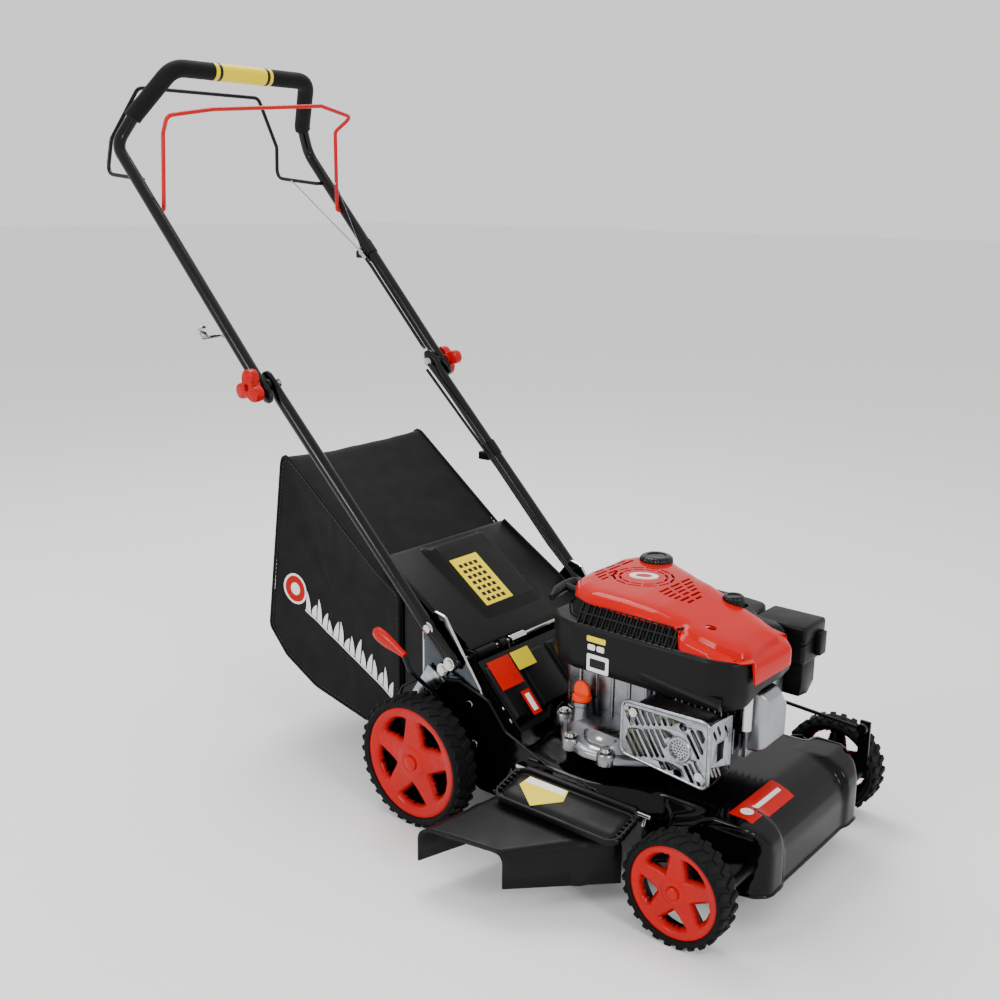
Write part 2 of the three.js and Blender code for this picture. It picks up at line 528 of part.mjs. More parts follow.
// ---- engine ----
function buildEngine() {
  const flange = plate('z', plateauZ + gap, 178, [[-110, -180], [-165, -226], [-178, -300], [-120, -352],
    [0, -372], [110, -340], [140, -241], [105, -170], [0, -158]]);
  const body = block(-92, 76, -322, -174, 177, 300);
  const neck = bar('z', 177, 222, 11, -112, -217, 14);
  const crankBore = bar('z', 150, 310, crankRadius + 0.6, 0, crankY, 20);
  const neckBore = bar('z', 185, 230, 8, -112, -217, 12);
  add('crankcase', cut(join(flange, body, neck), crankBore, neckBore), 'castAluminium');
  const gauge = bar('z', 190, 223, 3, -112, -217, 8);
  add('dipstick', join(bar('z', 222 + gap, 238, 15, -112, -217, 16), gauge), 'orange');

  const fins = [0, 1, 2, 3, 4].map((i) => block(-55, 60, -345 - i * 20, -338 - i * 20, 186, 290));
  const finned = join(block(-42, 46, -446, -322.3, 196, 282), ...fins);
  add('cylinder', finned, 'castAluminium');
  const coverFlange = block(-50, 32, -452, -446.3, 190, 286);
  add('rocker_cover', join(coverFlange, block(-45, 27, -476, -451, 196, 281)), 'zinc');
  add('spark_plug', join(bar('z', 236, 282, 7, -72, -456, 12), bar('z', 281, 288, 9, -72, -456, 12),
    bar('x', -72, -55.4, 5, -434, 262, 10), block(-78, -66, -460, -430, 257, 267)), 'zinc');

  add('muffler', block(-145, -97, -440, -330, 178, 264), 'steel');
  const guardOutline = [[-318, 262], [-447, 271], [-440, 174], [-366, 174], [-318, 216]];
  const guardFace = plate('x', -152, -150, guardOutline);
  const guardReturn = block(-151, -92, -446, -444, 186, 266);
  const outlet = bar('x', -160, -146, 16, -404, 226, 16);
  add('muffler_guard', cut(join(guardFace, guardReturn), outlet), 'zinc');

  const filterNotch = block(57, 130, -480, -388, 290, 348);
  const shroudOuter = plate('z', 296, 347, [[-112, -165], [-138, -210], [-138, -440], [-112, -472],
    [60, -472], [122, -400], [122, -215], [85, -165]]);
  const shroudInner = plate('z', 290, 344, [[-110, -168], [-135, -211], [-135, -439], [-110, -469],
    [58, -469], [119, -399], [119, -216], [84, -168]]);
  const airHole = bar('z', 340, 350, 68, 0, crankY, 28);
  add('blower_shroud', cut(shroudOuter, shroudInner, filterNotch, airHole), 'blackPlastic');

  const cowlPlan = [[-112, -170], [-122, -220], [-122, -420], [-104, -474], [40, -474], [104, -400],
    [104, -214], [80, -170]];
  const cowlSide = [[-170, 340], [-170, 364], [-196, 383], [-250, 388], [-320, 386], [-395, 379], [-452, 361],
    [-474, 357], [-474, 340]];
  const cowlFront = [[-122, 340], [-122, 357], [-96, 379], [-60, 388], [45, 388], [85, 379], [104, 357],
    [104, 340]];
  const cowlShape = (inset, floor) => {
    const nearer = (value, centre) => value - Math.sign(value - centre) * inset;
    const plan = cowlPlan.map(([x, y]) => [nearer(x, -8), nearer(y, -320)]);
    const side = cowlSide.map(([y, z]) => [nearer(y, -320), z - inset]);
    const front = cowlFront.map(([x, z]) => [nearer(x, -8), z - inset]);
    return meet(plate('z', floor, 400, plan), plate('x', -130, 110, side), plate('y', -480, -160, front));
  };
  const tankHole = bar('z', 360, 400, 18.6, 75, -213, 16);
  add('top_cowl', cut(cowlShape(0, 347 + gap), cowlShape(sheet, 342), tankHole), 'red');
  const neckHole = bar('z', 362, 400, 11, 75, -213, 14);
  add('fuel_tank', cut(join(block(42, 84, -288, -206, 350, 370), bar('z', 362, 378, 14, 75, -213, 14)),
    block(45, 81, -285, -209, 353, 367), neckHole), 'blackPlastic');
  add('fuel_cap', bar('z', 378 + gap, 392, 17, 75, -213, 20, 15), 'blackPlastic');

  add('air_filter_box', join(block(64, 120, -460, -392, 230, 344), block(70, 116, -465, -459, 240, 338)),
    'blackPlastic');
  add('carburettor', join(block(62, 100, -386, -346, 236, 280), bar('y', -391.6, -385, 14, 82, 258, 14)),
    'castAluminium');
  const gripBar = rounded([v(-64, -124, 344), v(-22, -118, 349), v(20, -112, 346)], 20, 3);
  add('starter_grip', join(tube(gripBar, 8, 10), bar('y', -146, -118, 6, -22, 347, 10)), 'blackPlastic');
}

// ---- grass bag: woven shell open to the tunnel, on a wire frame ----
function buildBag() {
  const outline = [[103, 96], [180, 88], [300, 113], [372, 150], [414, 194], [368, 511], [150, 346],
    [103, 318]];
  const inside = [[90, 99.3], [180, 91.2], [299, 116], [370, 152.6], [410.6, 195.4], [365.4, 504.6],
    [151, 342], [90, 307]];
  const shell = plate('x', -bagHalf, bagHalf, outline);
  const room = plate('x', -bagHalf + sheet, bagHalf - sheet, inside);
  add('bag_fabric', cut(shell, room), 'bagFabric');
  const x = bagHalf - 10;
  const mouthTop = tube([v(-x, 112, 306), v(x, 112, 306)], 4, 8);
  const mouthSides = [-x, x].map((side) => tube([v(side, 112, 136), v(side, 112, 306)], 4, 8));
  const rearTop = tube([v(-x, 352, 478), v(x, 352, 478)], 4, 8);
  const arms = [-x, x].map((side) => tube([v(side, 112, 304), v(side, 150, 326), v(side, 352, 478)], 4, 8));
  add('bag_frame', join(mouthTop, ...mouthSides, rearTop, ...arms), 'steel');
}

buildDeck();
buildRearBody();
buildRearFlap();
buildSideDischarge();
buildHandleMounts();
buildUpperHandle();
buildKnobs();
buildBails();
buildCables();
buildAxles();
buildRotor();
buildBelt();
buildEngine();
buildBag();
for (const [name, wheel] of [['rear', rearWheel], ['front', frontWheel]]) {
  buildWheel(`${name}_right`, wheel, -1);
  buildWheel(`${name}_left`, wheel, 1);
}

// origin at the middle of the footprint, on the ground
const bounds = new THREE.Box3().setFromObject(mower);
const middle = bounds.getCenter(v(0, 0, 0));
mower.position.set(-middle.x, -middle.y, 0);
mower.updateMatrixWorld(true);

export default mower;
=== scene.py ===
import math
import bmesh
import bpy
import numpy as np
from mathutils import Matrix, Vector, noise
from mathutils.geometry import tessellate_polygon


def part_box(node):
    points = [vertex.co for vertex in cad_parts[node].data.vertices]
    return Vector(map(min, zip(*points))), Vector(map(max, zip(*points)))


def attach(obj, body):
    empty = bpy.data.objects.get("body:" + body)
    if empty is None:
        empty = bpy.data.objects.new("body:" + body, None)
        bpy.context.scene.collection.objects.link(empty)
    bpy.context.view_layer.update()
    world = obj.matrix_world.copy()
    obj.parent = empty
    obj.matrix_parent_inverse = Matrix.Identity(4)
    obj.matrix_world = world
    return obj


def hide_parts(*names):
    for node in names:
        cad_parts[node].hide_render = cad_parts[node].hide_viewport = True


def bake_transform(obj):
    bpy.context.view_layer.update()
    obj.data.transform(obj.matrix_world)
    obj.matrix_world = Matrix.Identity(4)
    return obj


# Lawn mower. Shapes are drawn in machine millimetres: x across (minus is the near, right side),
# y from the rear axle to the handle, z up from the ground. toScene takes them to metres.
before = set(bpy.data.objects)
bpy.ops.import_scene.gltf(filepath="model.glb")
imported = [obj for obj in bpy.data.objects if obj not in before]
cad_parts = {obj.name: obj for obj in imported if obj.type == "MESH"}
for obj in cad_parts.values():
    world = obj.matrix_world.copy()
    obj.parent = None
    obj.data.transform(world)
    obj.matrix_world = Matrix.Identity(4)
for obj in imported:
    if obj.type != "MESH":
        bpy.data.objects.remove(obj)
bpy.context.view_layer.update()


def middleOf(node):
    low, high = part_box(node)
    return (low + high) / 2


rearAxle = (middleOf("rear_left_tyre") + middleOf("rear_right_tyre")) / 2
toScene = Matrix.Translation((rearAxle.x, rearAxle.y, 0)) @ Matrix.Scale(0.001, 4)
scene = bpy.context.scene
print("frame loaded")

# camera, floor and light
view = {"place": (-1403.18, -1121.79, 917.76), "yaw": -50.578, "pitch": 14.342, "roll": 0.7065,
        "lens": 42.574}


def setCamera():
    a, e, roll = (math.radians(view[key]) for key in ("yaw", "pitch", "roll"))
    back = Vector((math.sin(a) * math.cos(e), -math.cos(a) * math.cos(e), math.sin(e)))
    right = (-back).cross(Vector((0, 0, 1))).normalized()
    up = right.cross(-back)
    tiltedRight = right * math.cos(roll) + up * math.sin(roll)
    tiltedUp = up * math.cos(roll) - right * math.sin(roll)
    data = bpy.data.cameras.new("studioCamera")
    data.lens = view["lens"]
    data.sensor_width = 36
    camera = bpy.data.objects.new("studioCamera", data)
    scene.collection.objects.link(camera)
    turn = Matrix((tiltedRight, tiltedUp, back)).transposed().to_4x4()
    camera.matrix_world = Matrix.Translation(toScene @ Vector(view["place"])) @ turn
    scene.camera = camera


def addNode(tree, kind, inputs=None, **settings):
    node = tree.nodes.new(kind)
    for name, value in settings.items():
        setattr(node, name, value)
    for key, value in (inputs or {}).items():
        if isinstance(value, bpy.types.NodeSocket):
            tree.links.new(value, node.inputs[key])
        else:
            node.inputs[key].default_value = value
    return node


def linear(hexColour):
    channels = [int(hexColour[i:i + 2], 16) / 255 for i in (0, 2, 4)]
    return [c / 12.92 if c <= 0.04045 else ((c + 0.055) / 1.055) ** 2.4 for c in channels] + [1.0]


def setStage():
    floorFinish = bpy.data.materials.new("paleStudioFloor")
    floorFinish.use_nodes = True
    shader = floorFinish.node_tree.nodes["Principled BSDF"]
    shader.inputs["Base Color"].default_value = linear("f4f4f4")
    shader.inputs["Roughness"].default_value = 0.9
    data = bpy.data.meshes.new("studio_floor")
    reach = 30
    data.from_pydata([(-reach, -reach, 0), (reach, -reach, 0), (reach, reach, 0), (-reach, reach, 0)], [],
                     [(0, 1, 2, 3)])
    data.materials.append(floorFinish)
    floor = bpy.data.objects.new("studio_floor", data)
    scene.collection.objects.link(floor)
    world = bpy.data.worlds.new("paleRoom")
    world.use_nodes = True
    world.node_tree.nodes["Background"].inputs["Color"].default_value = linear("ffffff")
    world.node_tree.nodes["Background"].inputs["Strength"].default_value = 1.1
    scene.world = world
    lamps = {  # place in metres, size and power of each soft box
        "overheadBox": ((0.5, 0.9, 2.6), 1.3, 46),
        "nearSideBox": ((-2.5, 0.4, 1.5), 0.7, 30),
        "frontBox": ((-0.7, -2.6, 1.4), 0.6, 24),
    }
    target = Vector((0, -0.1, 0.35))
    for name, (place, size, power) in lamps.items():
        data = bpy.data.lights.new(name, "AREA")
        data.size = size
        data.energy = power
        lamp = bpy.data.objects.new(name, data)
        lamp.location = place
        lamp.rotation_mode = "QUATERNION"
        lamp.rotation_quaternion = (target - Vector(place)).to_track_quat("-Z", "Y")
        scene.collection.objects.link(lamp)


setCamera()
setStage()
print("camera, floor and light set")


# finishes
# grain: size in mm of the surface's texture, and its height in mm; mottle: second colour, patch size in mm
def finish(name, colour, roughness, metallic=0.0, grain=(1.0, 0.02), mottle=None, uneven=0.06, **sockets):
    made = bpy.data.materials.new(name)
    made.use_nodes = True
    tree = made.node_tree
    shader = tree.nodes["Principled BSDF"]
    shader.inputs["Metallic"].default_value = metallic
    for key, value in sockets.items():
        shader.inputs[key.replace("_", " ")].default_value = value
    place = addNode(tree, "ShaderNodeTexCoord").outputs["Object"]
    shader.inputs["Base Color"].default_value = linear(colour)
    if mottle:
        second, patch = mottle
        cloud = addNode(tree, "ShaderNodeTexNoise", {"Vector": place, "Scale": 1000 / patch, "Detail": 4})
        blend = addNode(tree, "ShaderNodeMix",
                        {0: cloud.outputs["Fac"], 6: linear(colour), 7: linear(second)},
                        data_type="RGBA")
        tree.links.new(blend.outputs[2], shader.inputs["Base Color"])
    handled = addNode(tree, "ShaderNodeTexNoise", {"Vector": place, "Scale": 28.0, "Detail": 5})
    spread = addNode(tree, "ShaderNodeMapRange",
                     {"Value": handled.outputs["Fac"], "From Min": 0.3, "From Max": 0.7,
                                                  "To Min": max(roughness - uneven, 0.02),
                                                  "To Max": roughness + uneven})
    tree.links.new(spread.outputs["Result"], shader.inputs["Roughness"])
    size, height = grain
    texture = addNode(tree, "ShaderNodeTexNoise", {"Vector": place, "Scale": 1000 / size, "Detail": 2})
    bump = addNode(tree, "ShaderNodeBump", {"Height": texture.outputs["Fac"], "Strength": 0.6,
                                            "Distance": height / 1000})
    tree.links.new(bump.outputs["Normal"], shader.inputs["Normal"])
    return made


# sprayed and baked over pressed steel: deep black, hard gloss, a slow orange peel
deckEnamel = finish("blackEnamelOnPressedSteel", "030304", 0.13, grain=(7, 0.04), uneven=0.04,
                    Specular_IOR_Level=0.18)
# baked powder on steel tube: satin, a fine pebble
tubeCoat = finish("blackPowderCoatedTube", "050506", 0.22, grain=(1.6, 0.02), uneven=0.05,
                  Specular_IOR_Level=0.25)
# PP moulded in a spark-eroded tool: satin black, an even leather-fine grain drawn at 1.4 mm
mouldedBlack = finish("blackMouldedPolypropylene", "070708", 0.42, grain=(1.4, 0.04), mottle=("0a0a0c", 60),
                      Specular_IOR_Level=0.16)
# ABS from a polished tool: darker and shinier than the grained mouldings
polishedBlack = finish("blackPolishedAbs", "060607", 0.22, grain=(5, 0.02), uneven=0.05,
                       Specular_IOR_Level=0.25)
# ABS coloured through, polished tool: wet-looking red with faint flow marks
cowlRed = finish("redPolishedAbs", "c00200", 0.16, grain=(9, 0.03), mottle=("b00100", 90), uneven=0.05,
                 Specular_IOR_Level=0.13)
# nylon from a polished tool: the same red a little softer
mouldedRed = finish("redMouldedNylon", "b80300", 0.27, grain=(2.5, 0.03), mottle=("a00200", 35),
                    Specular_IOR_Level=0.2)
# enamel dipped on spring wire
wireRed = finish("redEnamelledWire", "b80408", 0.25, grain=(2, 0.02), Specular_IOR_Level=0.25)
wireBlack = finish("blackEnamelledWire", "050506", 0.25, grain=(2, 0.02), Specular_IOR_Level=0.25)
# vulcanised rubber: dull charcoal, dusty where it is handled
tyreRubber = finish("vulcanisedTyreRubber", "0d0d0e", 0.7, grain=(1.2, 0.06), mottle=("131314", 18),
                    uneven=0.1, Specular_IOR_Level=0.12)
# PVC over a steel coil
jacketPvc = finish("blackPvcCableJacket", "08080a", 0.4, grain=(1.2, 0.02), Specular_IOR_Level=0.2)
# polypropylene coloured through
signalOrange = finish("orangeMouldedPolypropylene", "f03a00", 0.35, grain=(1.6, 0.03), Specular_IOR_Level=0.2)
# die-cast aluminium: grey, a sandy skin drawn at 1.5 mm
castSkin = finish("dieCastAluminium", "989a9d", 0.3, 1.0, grain=(1.5, 0.08), mottle=("6c6e72", 26),
                  uneven=0.12)
# pressed aluminium with a satin blast
pressedAlloy = finish("satinPressedAluminium", "a2a4a8", 0.3, 1.0, grain=(0.9, 0.02), mottle=("8d8f94", 40))
# nickel and chrome on steel
chrome = finish("chromedSteel", "c9c8c4", 0.09, 1.0, grain=(6, 0.01), uneven=0.04)
# steel bar as turned, oiled
turnedSteel = finish("turnedSteelBar", "6e7074", 0.32, 1.0, grain=(0.8, 0.02), mottle=("505256", 12))
darkSteel = finish("blackedSteelStrip", "1a1b1d", 0.36, 0.8, grain=(1.4, 0.03), mottle=("101113", 25))
# printed vinyl stuck on
vinylYellow = finish("yellowPrintedVinyl", "e8d000", 0.35, grain=(4, 0.02), Specular_IOR_Level=0.15)
vinylRed = finish("redPrintedVinyl", "bc0502", 0.3, grain=(4, 0.02), Specular_IOR_Level=0.15)
vinylWhite = finish("whitePrintedVinyl", "e6e6e4", 0.35, grain=(4, 0.02), Specular_IOR_Level=0.2)
# ink screened on cloth
printWhite = finish("whiteScreenPrint", "dcdcda", 0.7, grain=(1.6, 0.1), Specular_IOR_Level=0.15)
printRed = finish("redScreenPrint", "a80804", 0.7, grain=(1.6, 0.1), Specular_IOR_Level=0.15)
vinylBlack = finish("blackPrintedVinyl", "0c0c0e", 0.35, grain=(4, 0.02), Specular_IOR_Level=0.2)


def galvanised():
    # zinc dipped on thin sheet: bright, with crystals of slightly different grey 9 mm across
    made = finish("galvanisedSheetSteel", "9da1a5", 0.24, 1.0, grain=(1.2, 0.02), uneven=0.08)
    tree = made.node_tree
    place = addNode(tree, "ShaderNodeTexCoord").outputs["Object"]
    crystals = addNode(tree, "ShaderNodeTexVoronoi", {"Vector": place, "Scale": 1000 / 9})
    tone = addNode(tree, "ShaderNodeValToRGB", {"Fac": crystals.outputs["Color"]})
    tone.color_ramp.elements[0].color = linear("858a8f")
    tone.color_ramp.elements[1].color = linear("a9adb1")
    tree.links.new(tone.outputs["Color"], tree.nodes["Principled BSDF"].inputs["Base Color"])
    return made


def foamRubber():
    # closed-cell nitrile foam sleeve: matt, cells drawn at 1.6 mm so that they show
    made = finish("blackNitrileFoam", "0a0a0b", 0.8, grain=(1.6, 0.2), mottle=("111112", 6),
                  Sheen_Weight=0.04, Sheen_Roughness=0.5, Specular_IOR_Level=0.15)
    tree = made.node_tree
    place = addNode(tree, "ShaderNodeTexCoord").outputs["Object"]
    cells = addNode(tree, "ShaderNodeTexVoronoi", {"Vector": place, "Scale": 1000 / 1.6})
    bump = next(node for node in tree.nodes if node.type == "BUMP")
    tree.links.new(cells.outputs["Distance"], bump.inputs["Height"])
    return made


def wovenPolyester():
    # woven polyester, plain weave: threads are 0.5 mm, drawn at 2.4 mm so that they show
    made = finish("blackWovenPolyester", "060607", 0.72, grain=(1.6, 0.2), mottle=("0b0b0d", 30),
                  Sheen_Weight=0.05, Sheen_Roughness=0.45, Specular_IOR_Level=0.15)
    tree = made.node_tree
    place = addNode(tree, "ShaderNodeUVMap", uv_map="cloth").outputs["UV"]
    pitch = 2 * math.pi / 20 / 0.0024  # one wave for each 2.4 mm of cloth
    waves = [addNode(tree, "ShaderNodeTexWave", {"Vector": place, "Scale": pitch}, bands_direction=way)
             for way in ("X", "Y")]
    both = addNode(tree, "ShaderNodeMath", {0: waves[0].outputs["Fac"], 1: waves[1].outputs["Fac"]},
                   operation="MULTIPLY")
    bump = next(node for node in tree.nodes if node.type == "BUMP")
    tree.links.new(both.outputs["Value"], bump.inputs["Height"])
    return made


# blue passivated zinc on a sheet bracket: dark and mirror-like; its bright rolled edge is a painted
# highlight, laid on in chrome below
platedZinc = finish("bluePassivatedZinc", "4c5257", 0.16, 1.0, grain=(5, 0.03), mottle=("33383d", 30),
                    uneven=0.05)
zincSheet = galvanised()
foamSkin = foamRubber()
bagCloth = wovenPolyester()
print("finishes mixed")


# shapes, all in millimetres
def tidied(shape):
    bmesh.ops.remove_doubles(shape, verts=shape.verts, dist=0.005)
    bmesh.ops.recalc_face_normals(shape, faces=shape.faces)
    return shape


def loft(rings, capped=True, looped=False, strip=False):
    shape = bmesh.new()
    rows = [[shape.verts.new(point) for point in ring] for ring in rings]
    count = len(rings[0])
    for a, b in zip(rows, rows[1:] + ([rows[0]] if looped else [])):
        for i in range(count - (1 if strip else 0)):
            j = (i + 1) % count
            shape.faces.new((a[i], a[j], b[j], b[i]))
    if capped and not looped:
        shape.faces.new(rows[0][::-1])
        shape.faces.new(rows[-1])
    return tidied(shape)


def sweep(points, radius, sides=16, across=None, capped=True):
    # a bar along points; radius is a number, or a (sideways, upright) pair at each point
    points = [Vector(p) for p in points]
    ahead = [(points[min(i + 1, len(points) - 1)] - points[max(i - 1, 0)]).normalized()
             for i in range(len(points))]
    side = Vector(across) if across else ahead[0].orthogonal()
    rings = []
    for i, (point, way) in enumerate(zip(points, ahead)):
        side = (side - way * side.dot(way)).normalized()
        upright = way.cross(side)
        a, b = radius[i] if isinstance(radius, list) else (radius, radius)
        angles = [2 * math.pi * k / sides for k in range(sides)]
        rings.append([point + side * (a * math.cos(t)) + upright * (b * math.sin(t)) for t in angles])
    return loft(rings, capped)


def roundCorners(corners, bend, steps=6, closed=False):
    corners = [Vector(c) for c in corners]
    last = len(corners)
    line = [] if closed else [corners[0]]
    for i in range(0 if closed else 1, last if closed else last - 1):
        corner, before, after = corners[i], corners[i - 1] - corners[i], corners[(i + 1) % last] - corners[i]
        turn = math.pi - before.angle(after)
        reach = min(bend * math.tan(turn / 2), 0.48 * before.length, 0.48 * after.length)
        a, b = corner + before.normalized() * reach, corner + after.normalized() * reach
        for k in range(steps + 1):
            t = k / steps
            line.append(a * (1 - t) ** 2 + corner * (2 * t * (1 - t)) + b * t ** 2)
    return line if closed else line + [corners[-1]]


def lay(axis, depth, a, b):
    return {"x": (depth, a, b), "y": (a, depth, b), "z": (a, b, depth)}[axis]


def prism(axis, start, end, outline, holes=()):
    loops = [list(outline), *[list(hole) for hole in holes]]
    flat = [point for loop in loops for point in loop]
    shape = bmesh.new()
    low = [shape.verts.new(lay(axis, start, p[0], p[1])) for p in flat]
    high = [shape.verts.new(lay(axis, end, p[0], p[1])) for p in flat]
    if len(loops) == 1:
        shape.faces.new(low)
        shape.faces.new(high[::-1])
    else:
        for triangle in tessellate_polygon([[Vector((p[0], p[1], 0)) for p in loop] for loop in loops]):
            shape.faces.new([low[i] for i in triangle])
            shape.faces.new([high[i] for i in triangle[::-1]])
    first = 0
    for loop in loops:
        for i in range(len(loop)):
            a, b = first + i, first + (i + 1) % len(loop)
            shape.faces.new((low[a], low[b], high[b], high[a]))
        first += len(loop)
    bmesh.ops.recalc_face_normals(shape, faces=shape.faces)
    return shape


def box(x0, x1, y0, y1, z0, z1):
    return prism("z", z0, z1, [(x0, y0), (x1, y0), (x1, y1), (x0, y1)])


def circle(a, b, radius, sides=24, turn=0.0):
    return [(a + radius * math.cos(turn + 2 * math.pi * i / sides),
             b + radius * math.sin(turn + 2 * math.pi * i / sides))
            for i in range(sides)]


def slotHole(a, b, length, width, angle, steps=5):
    along = Vector((math.cos(angle), math.sin(angle)))
    points = []
    for end, turn in ((1, -0.5), (-1, 0.5)):
        for i in range(steps + 1):
            t = angle + math.pi * (turn + i / steps)
            centre = Vector((a, b)) + along * (end * (length - width) / 2)
            points.append(centre + Vector((math.cos(t), math.sin(t))) * width / 2)
    return points


def lathe(profile, centre, axis="x", sides=64, closed=False):
    # profile: (radius, distance along the axis from the centre)
    rings = []
    for k in range(sides):
        t = 2 * math.pi * k / sides
        rings.append([Vector(lay(axis, d, r * math.cos(t), r * math.sin(t))) + Vector(centre)
                      for r, d in profile])
    return loft(rings, capped=False, looped=True, strip=not closed)


def soften(shape, width, segments=2, angle=25):
    edges = [e for e in shape.edges if e.is_manifold and e.calc_face_angle(0) > math.radians(angle)]
    bmesh.ops.bevel(shape, geom=edges, offset=width, segments=segments, profile=0.5, affect="EDGES",
                    material=-1, clamp_overlap=True)
    return shape


def combine(*shapes):
    whole = shapes[0]
    for extra in shapes[1:]:
        carrier = bpy.data.meshes.new("carrier")
        extra.to_mesh(carrier)
        extra.free()
        whole.from_mesh(carrier)
        bpy.data.meshes.remove(carrier)
    return whole


def moved(shape, matrix):
    bmesh.ops.transform(shape, matrix=matrix, verts=shape.verts)
    if matrix.determinant() < 0:
        bmesh.ops.reverse_faces(shape, faces=shape.faces)
    return shape


def bothSides(build):
    return combine(build(), moved(build(), Matrix.Scale(-1, 4, (1, 0, 0))))


def showMesh(name, data, body, replaces=(), crease=32):
    data.shade_smooth()
    data.set_sharp_from_angle(angle=math.radians(crease))
    made = bpy.data.objects.new(name, data)
    scene.collection.objects.link(made)
    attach(made, body)
    if replaces:
        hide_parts(*replaces)
    return made


def piece(name, shape, finishes, body, replaces=(), crease=32):
    data = bpy.data.meshes.new(name)
    moved(shape, toScene)
    shape.to_mesh(data)
    shape.free()
    for made in finishes if isinstance(finishes, list) else [finishes]:
        data.materials.append(made)
    if not isinstance(finishes, list):
        data.polygons.foreach_set("material_index", [0] * len(data.polygons))
    return showMesh(name, data, body, replaces, crease)


# geometry node trees for what repeats
def newTree(name, inputs):
    tree = bpy.data.node_groups.new(name, "GeometryNodeTree")
    tree.interface.new_socket("Geometry", in_out="INPUT", socket_type="NodeSocketGeometry")
    for label, kind in inputs:
        tree.interface.new_socket(label, in_out="INPUT", socket_type="NodeSocket" + kind)
    tree.interface.new_socket("Geometry", in_out="OUTPUT", socket_type="NodeSocketGeometry")
    return tree, addNode(tree, "NodeGroupInput").outputs


def closeTree(tree, instances, given):
    real = addNode(tree, "GeometryNodeRealizeInstances", {"Geometry": instances})
    coloured = addNode(tree, "GeometryNodeSetMaterial", {"Geometry": real.outputs["Geometry"],
                                                         "Material": given["Material"]})
    addNode(tree, "NodeGroupOutput", {"Geometry": coloured.outputs["Geometry"]})
    return tree


def rowTree():
    # a straight row of equal blocks
    tree, given = newTree("rowOfBlocks", [("Count", "Int"), ("First", "Vector"), ("Step", "Vector"),
                                          ("Size", "Vector"), ("Turn", "Vector"), ("Material", "Material")])
    line = addNode(tree, "GeometryNodeMeshLine", {"Count": given["Count"], "Start Location": given["First"],
                                                  "Offset": given["Step"]})
    block = addNode(tree, "GeometryNodeMeshCube", {"Size": given["Size"]})
    turn = addNode(tree, "FunctionNodeEulerToRotation", {"Euler": given["Turn"]})
    rows = addNode(tree, "GeometryNodeInstanceOnPoints", {"Points": line.outputs["Mesh"],
                                                          "Instance": block.outputs["Mesh"],
                                                          "Rotation": turn.outputs["Rotation"]})
    return closeTree(tree, rows.outputs["Instances"], given)


def ringTree():
    # blocks round the x axis, every second one on the other side of the middle
    tree, given = newTree("ringOfBlocks", [("Count", "Int"), ("Radius", "Float"), ("Shift", "Float"),
                                           ("Size", "Vector"), ("Skew", "Float"), ("Material", "Material")])
    points = addNode(tree, "GeometryNodePoints", {"Count": given["Count"]})
    index = addNode(tree, "GeometryNodeInputIndex").outputs["Index"]
    part = addNode(tree, "ShaderNodeMath", {0: index, 1: given["Count"]}, operation="DIVIDE")
    angle = addNode(tree, "ShaderNodeMath", {0: part.outputs[0], 1: 2 * math.pi}, operation="MULTIPLY")
    half = addNode(tree, "ShaderNodeMath", {0: index, 1: 2.0}, operation="MODULO")
    side = addNode(tree, "ShaderNodeMath", {0: half.outputs[0], 1: 2.0, 2: -1.0}, operation="MULTIPLY_ADD")
    across = addNode(tree, "ShaderNodeMath", {0: side.outputs[0], 1: given["Shift"]}, operation="MULTIPLY")
    skew = addNode(tree, "ShaderNodeMath", {0: side.outputs[0], 1: given["Skew"]}, operation="MULTIPLY")
    block = addNode(tree, "GeometryNodeMeshCube", {"Size": given["Size"]})
    lift = addNode(tree, "ShaderNodeCombineXYZ", {"X": across.outputs[0], "Z": given["Radius"]})
    tilt = addNode(tree, "ShaderNodeCombineXYZ", {"Z": skew.outputs[0]})
    tiltTurn = addNode(tree, "FunctionNodeEulerToRotation", {"Euler": tilt.outputs["Vector"]})
    placed = addNode(tree, "GeometryNodeInstanceOnPoints", {"Points": points.outputs[0],
                                                            "Instance": block.outputs["Mesh"],
                                                            "Rotation": tiltTurn.outputs["Rotation"]})
    shifted = addNode(tree, "GeometryNodeTranslateInstances", {"Instances": placed.outputs["Instances"],
                                                               "Translation": lift.outputs["Vector"]})
    around = addNode(tree, "ShaderNodeCombineXYZ", {"X": angle.outputs[0]})
    roundTurn = addNode(tree, "FunctionNodeEulerToRotation", {"Euler": around.outputs["Vector"]})
    turned = addNode(tree, "GeometryNodeRotateInstances", {"Instances": shifted.outputs["Instances"],
                                                           "Rotation": roundTurn.outputs["Rotation"],
                                                           "Pivot Point": (0, 0, 0), "Local Space": False})
    return closeTree(tree, turned.outputs["Instances"], given)


def boltTree():
    # a hexagon head on a washer at every vertex of the mesh that it is given
    tree, given = newTree("boltHeads", [("Head Radius", "Float"), ("Head Height", "Float"),
                                        ("Washer Radius", "Float"), ("Turn", "Vector"),
                                        ("Material", "Material")])
    head = addNode(tree, "GeometryNodeMeshCylinder", {"Vertices": 6, "Radius": given["Head Radius"],
                                                      "Depth": given["Head Height"]})
    washer = addNode(tree, "GeometryNodeMeshCylinder", {"Vertices": 20, "Radius": given["Washer Radius"],
                                                        "Depth": 1.2})
    both = addNode(tree, "GeometryNodeJoinGeometry")
    tree.links.new(head.outputs["Mesh"], both.inputs[0])
    tree.links.new(washer.outputs["Mesh"], both.inputs[0])
    turn = addNode(tree, "FunctionNodeEulerToRotation", {"Euler": given["Turn"]})
    heads = addNode(tree, "GeometryNodeInstanceOnPoints", {"Points": given["Geometry"],
                                                           "Instance": both.outputs["Geometry"],
                                                           "Rotation": turn.outputs["Rotation"]})
    return closeTree(tree, heads.outputs["Instances"], given)


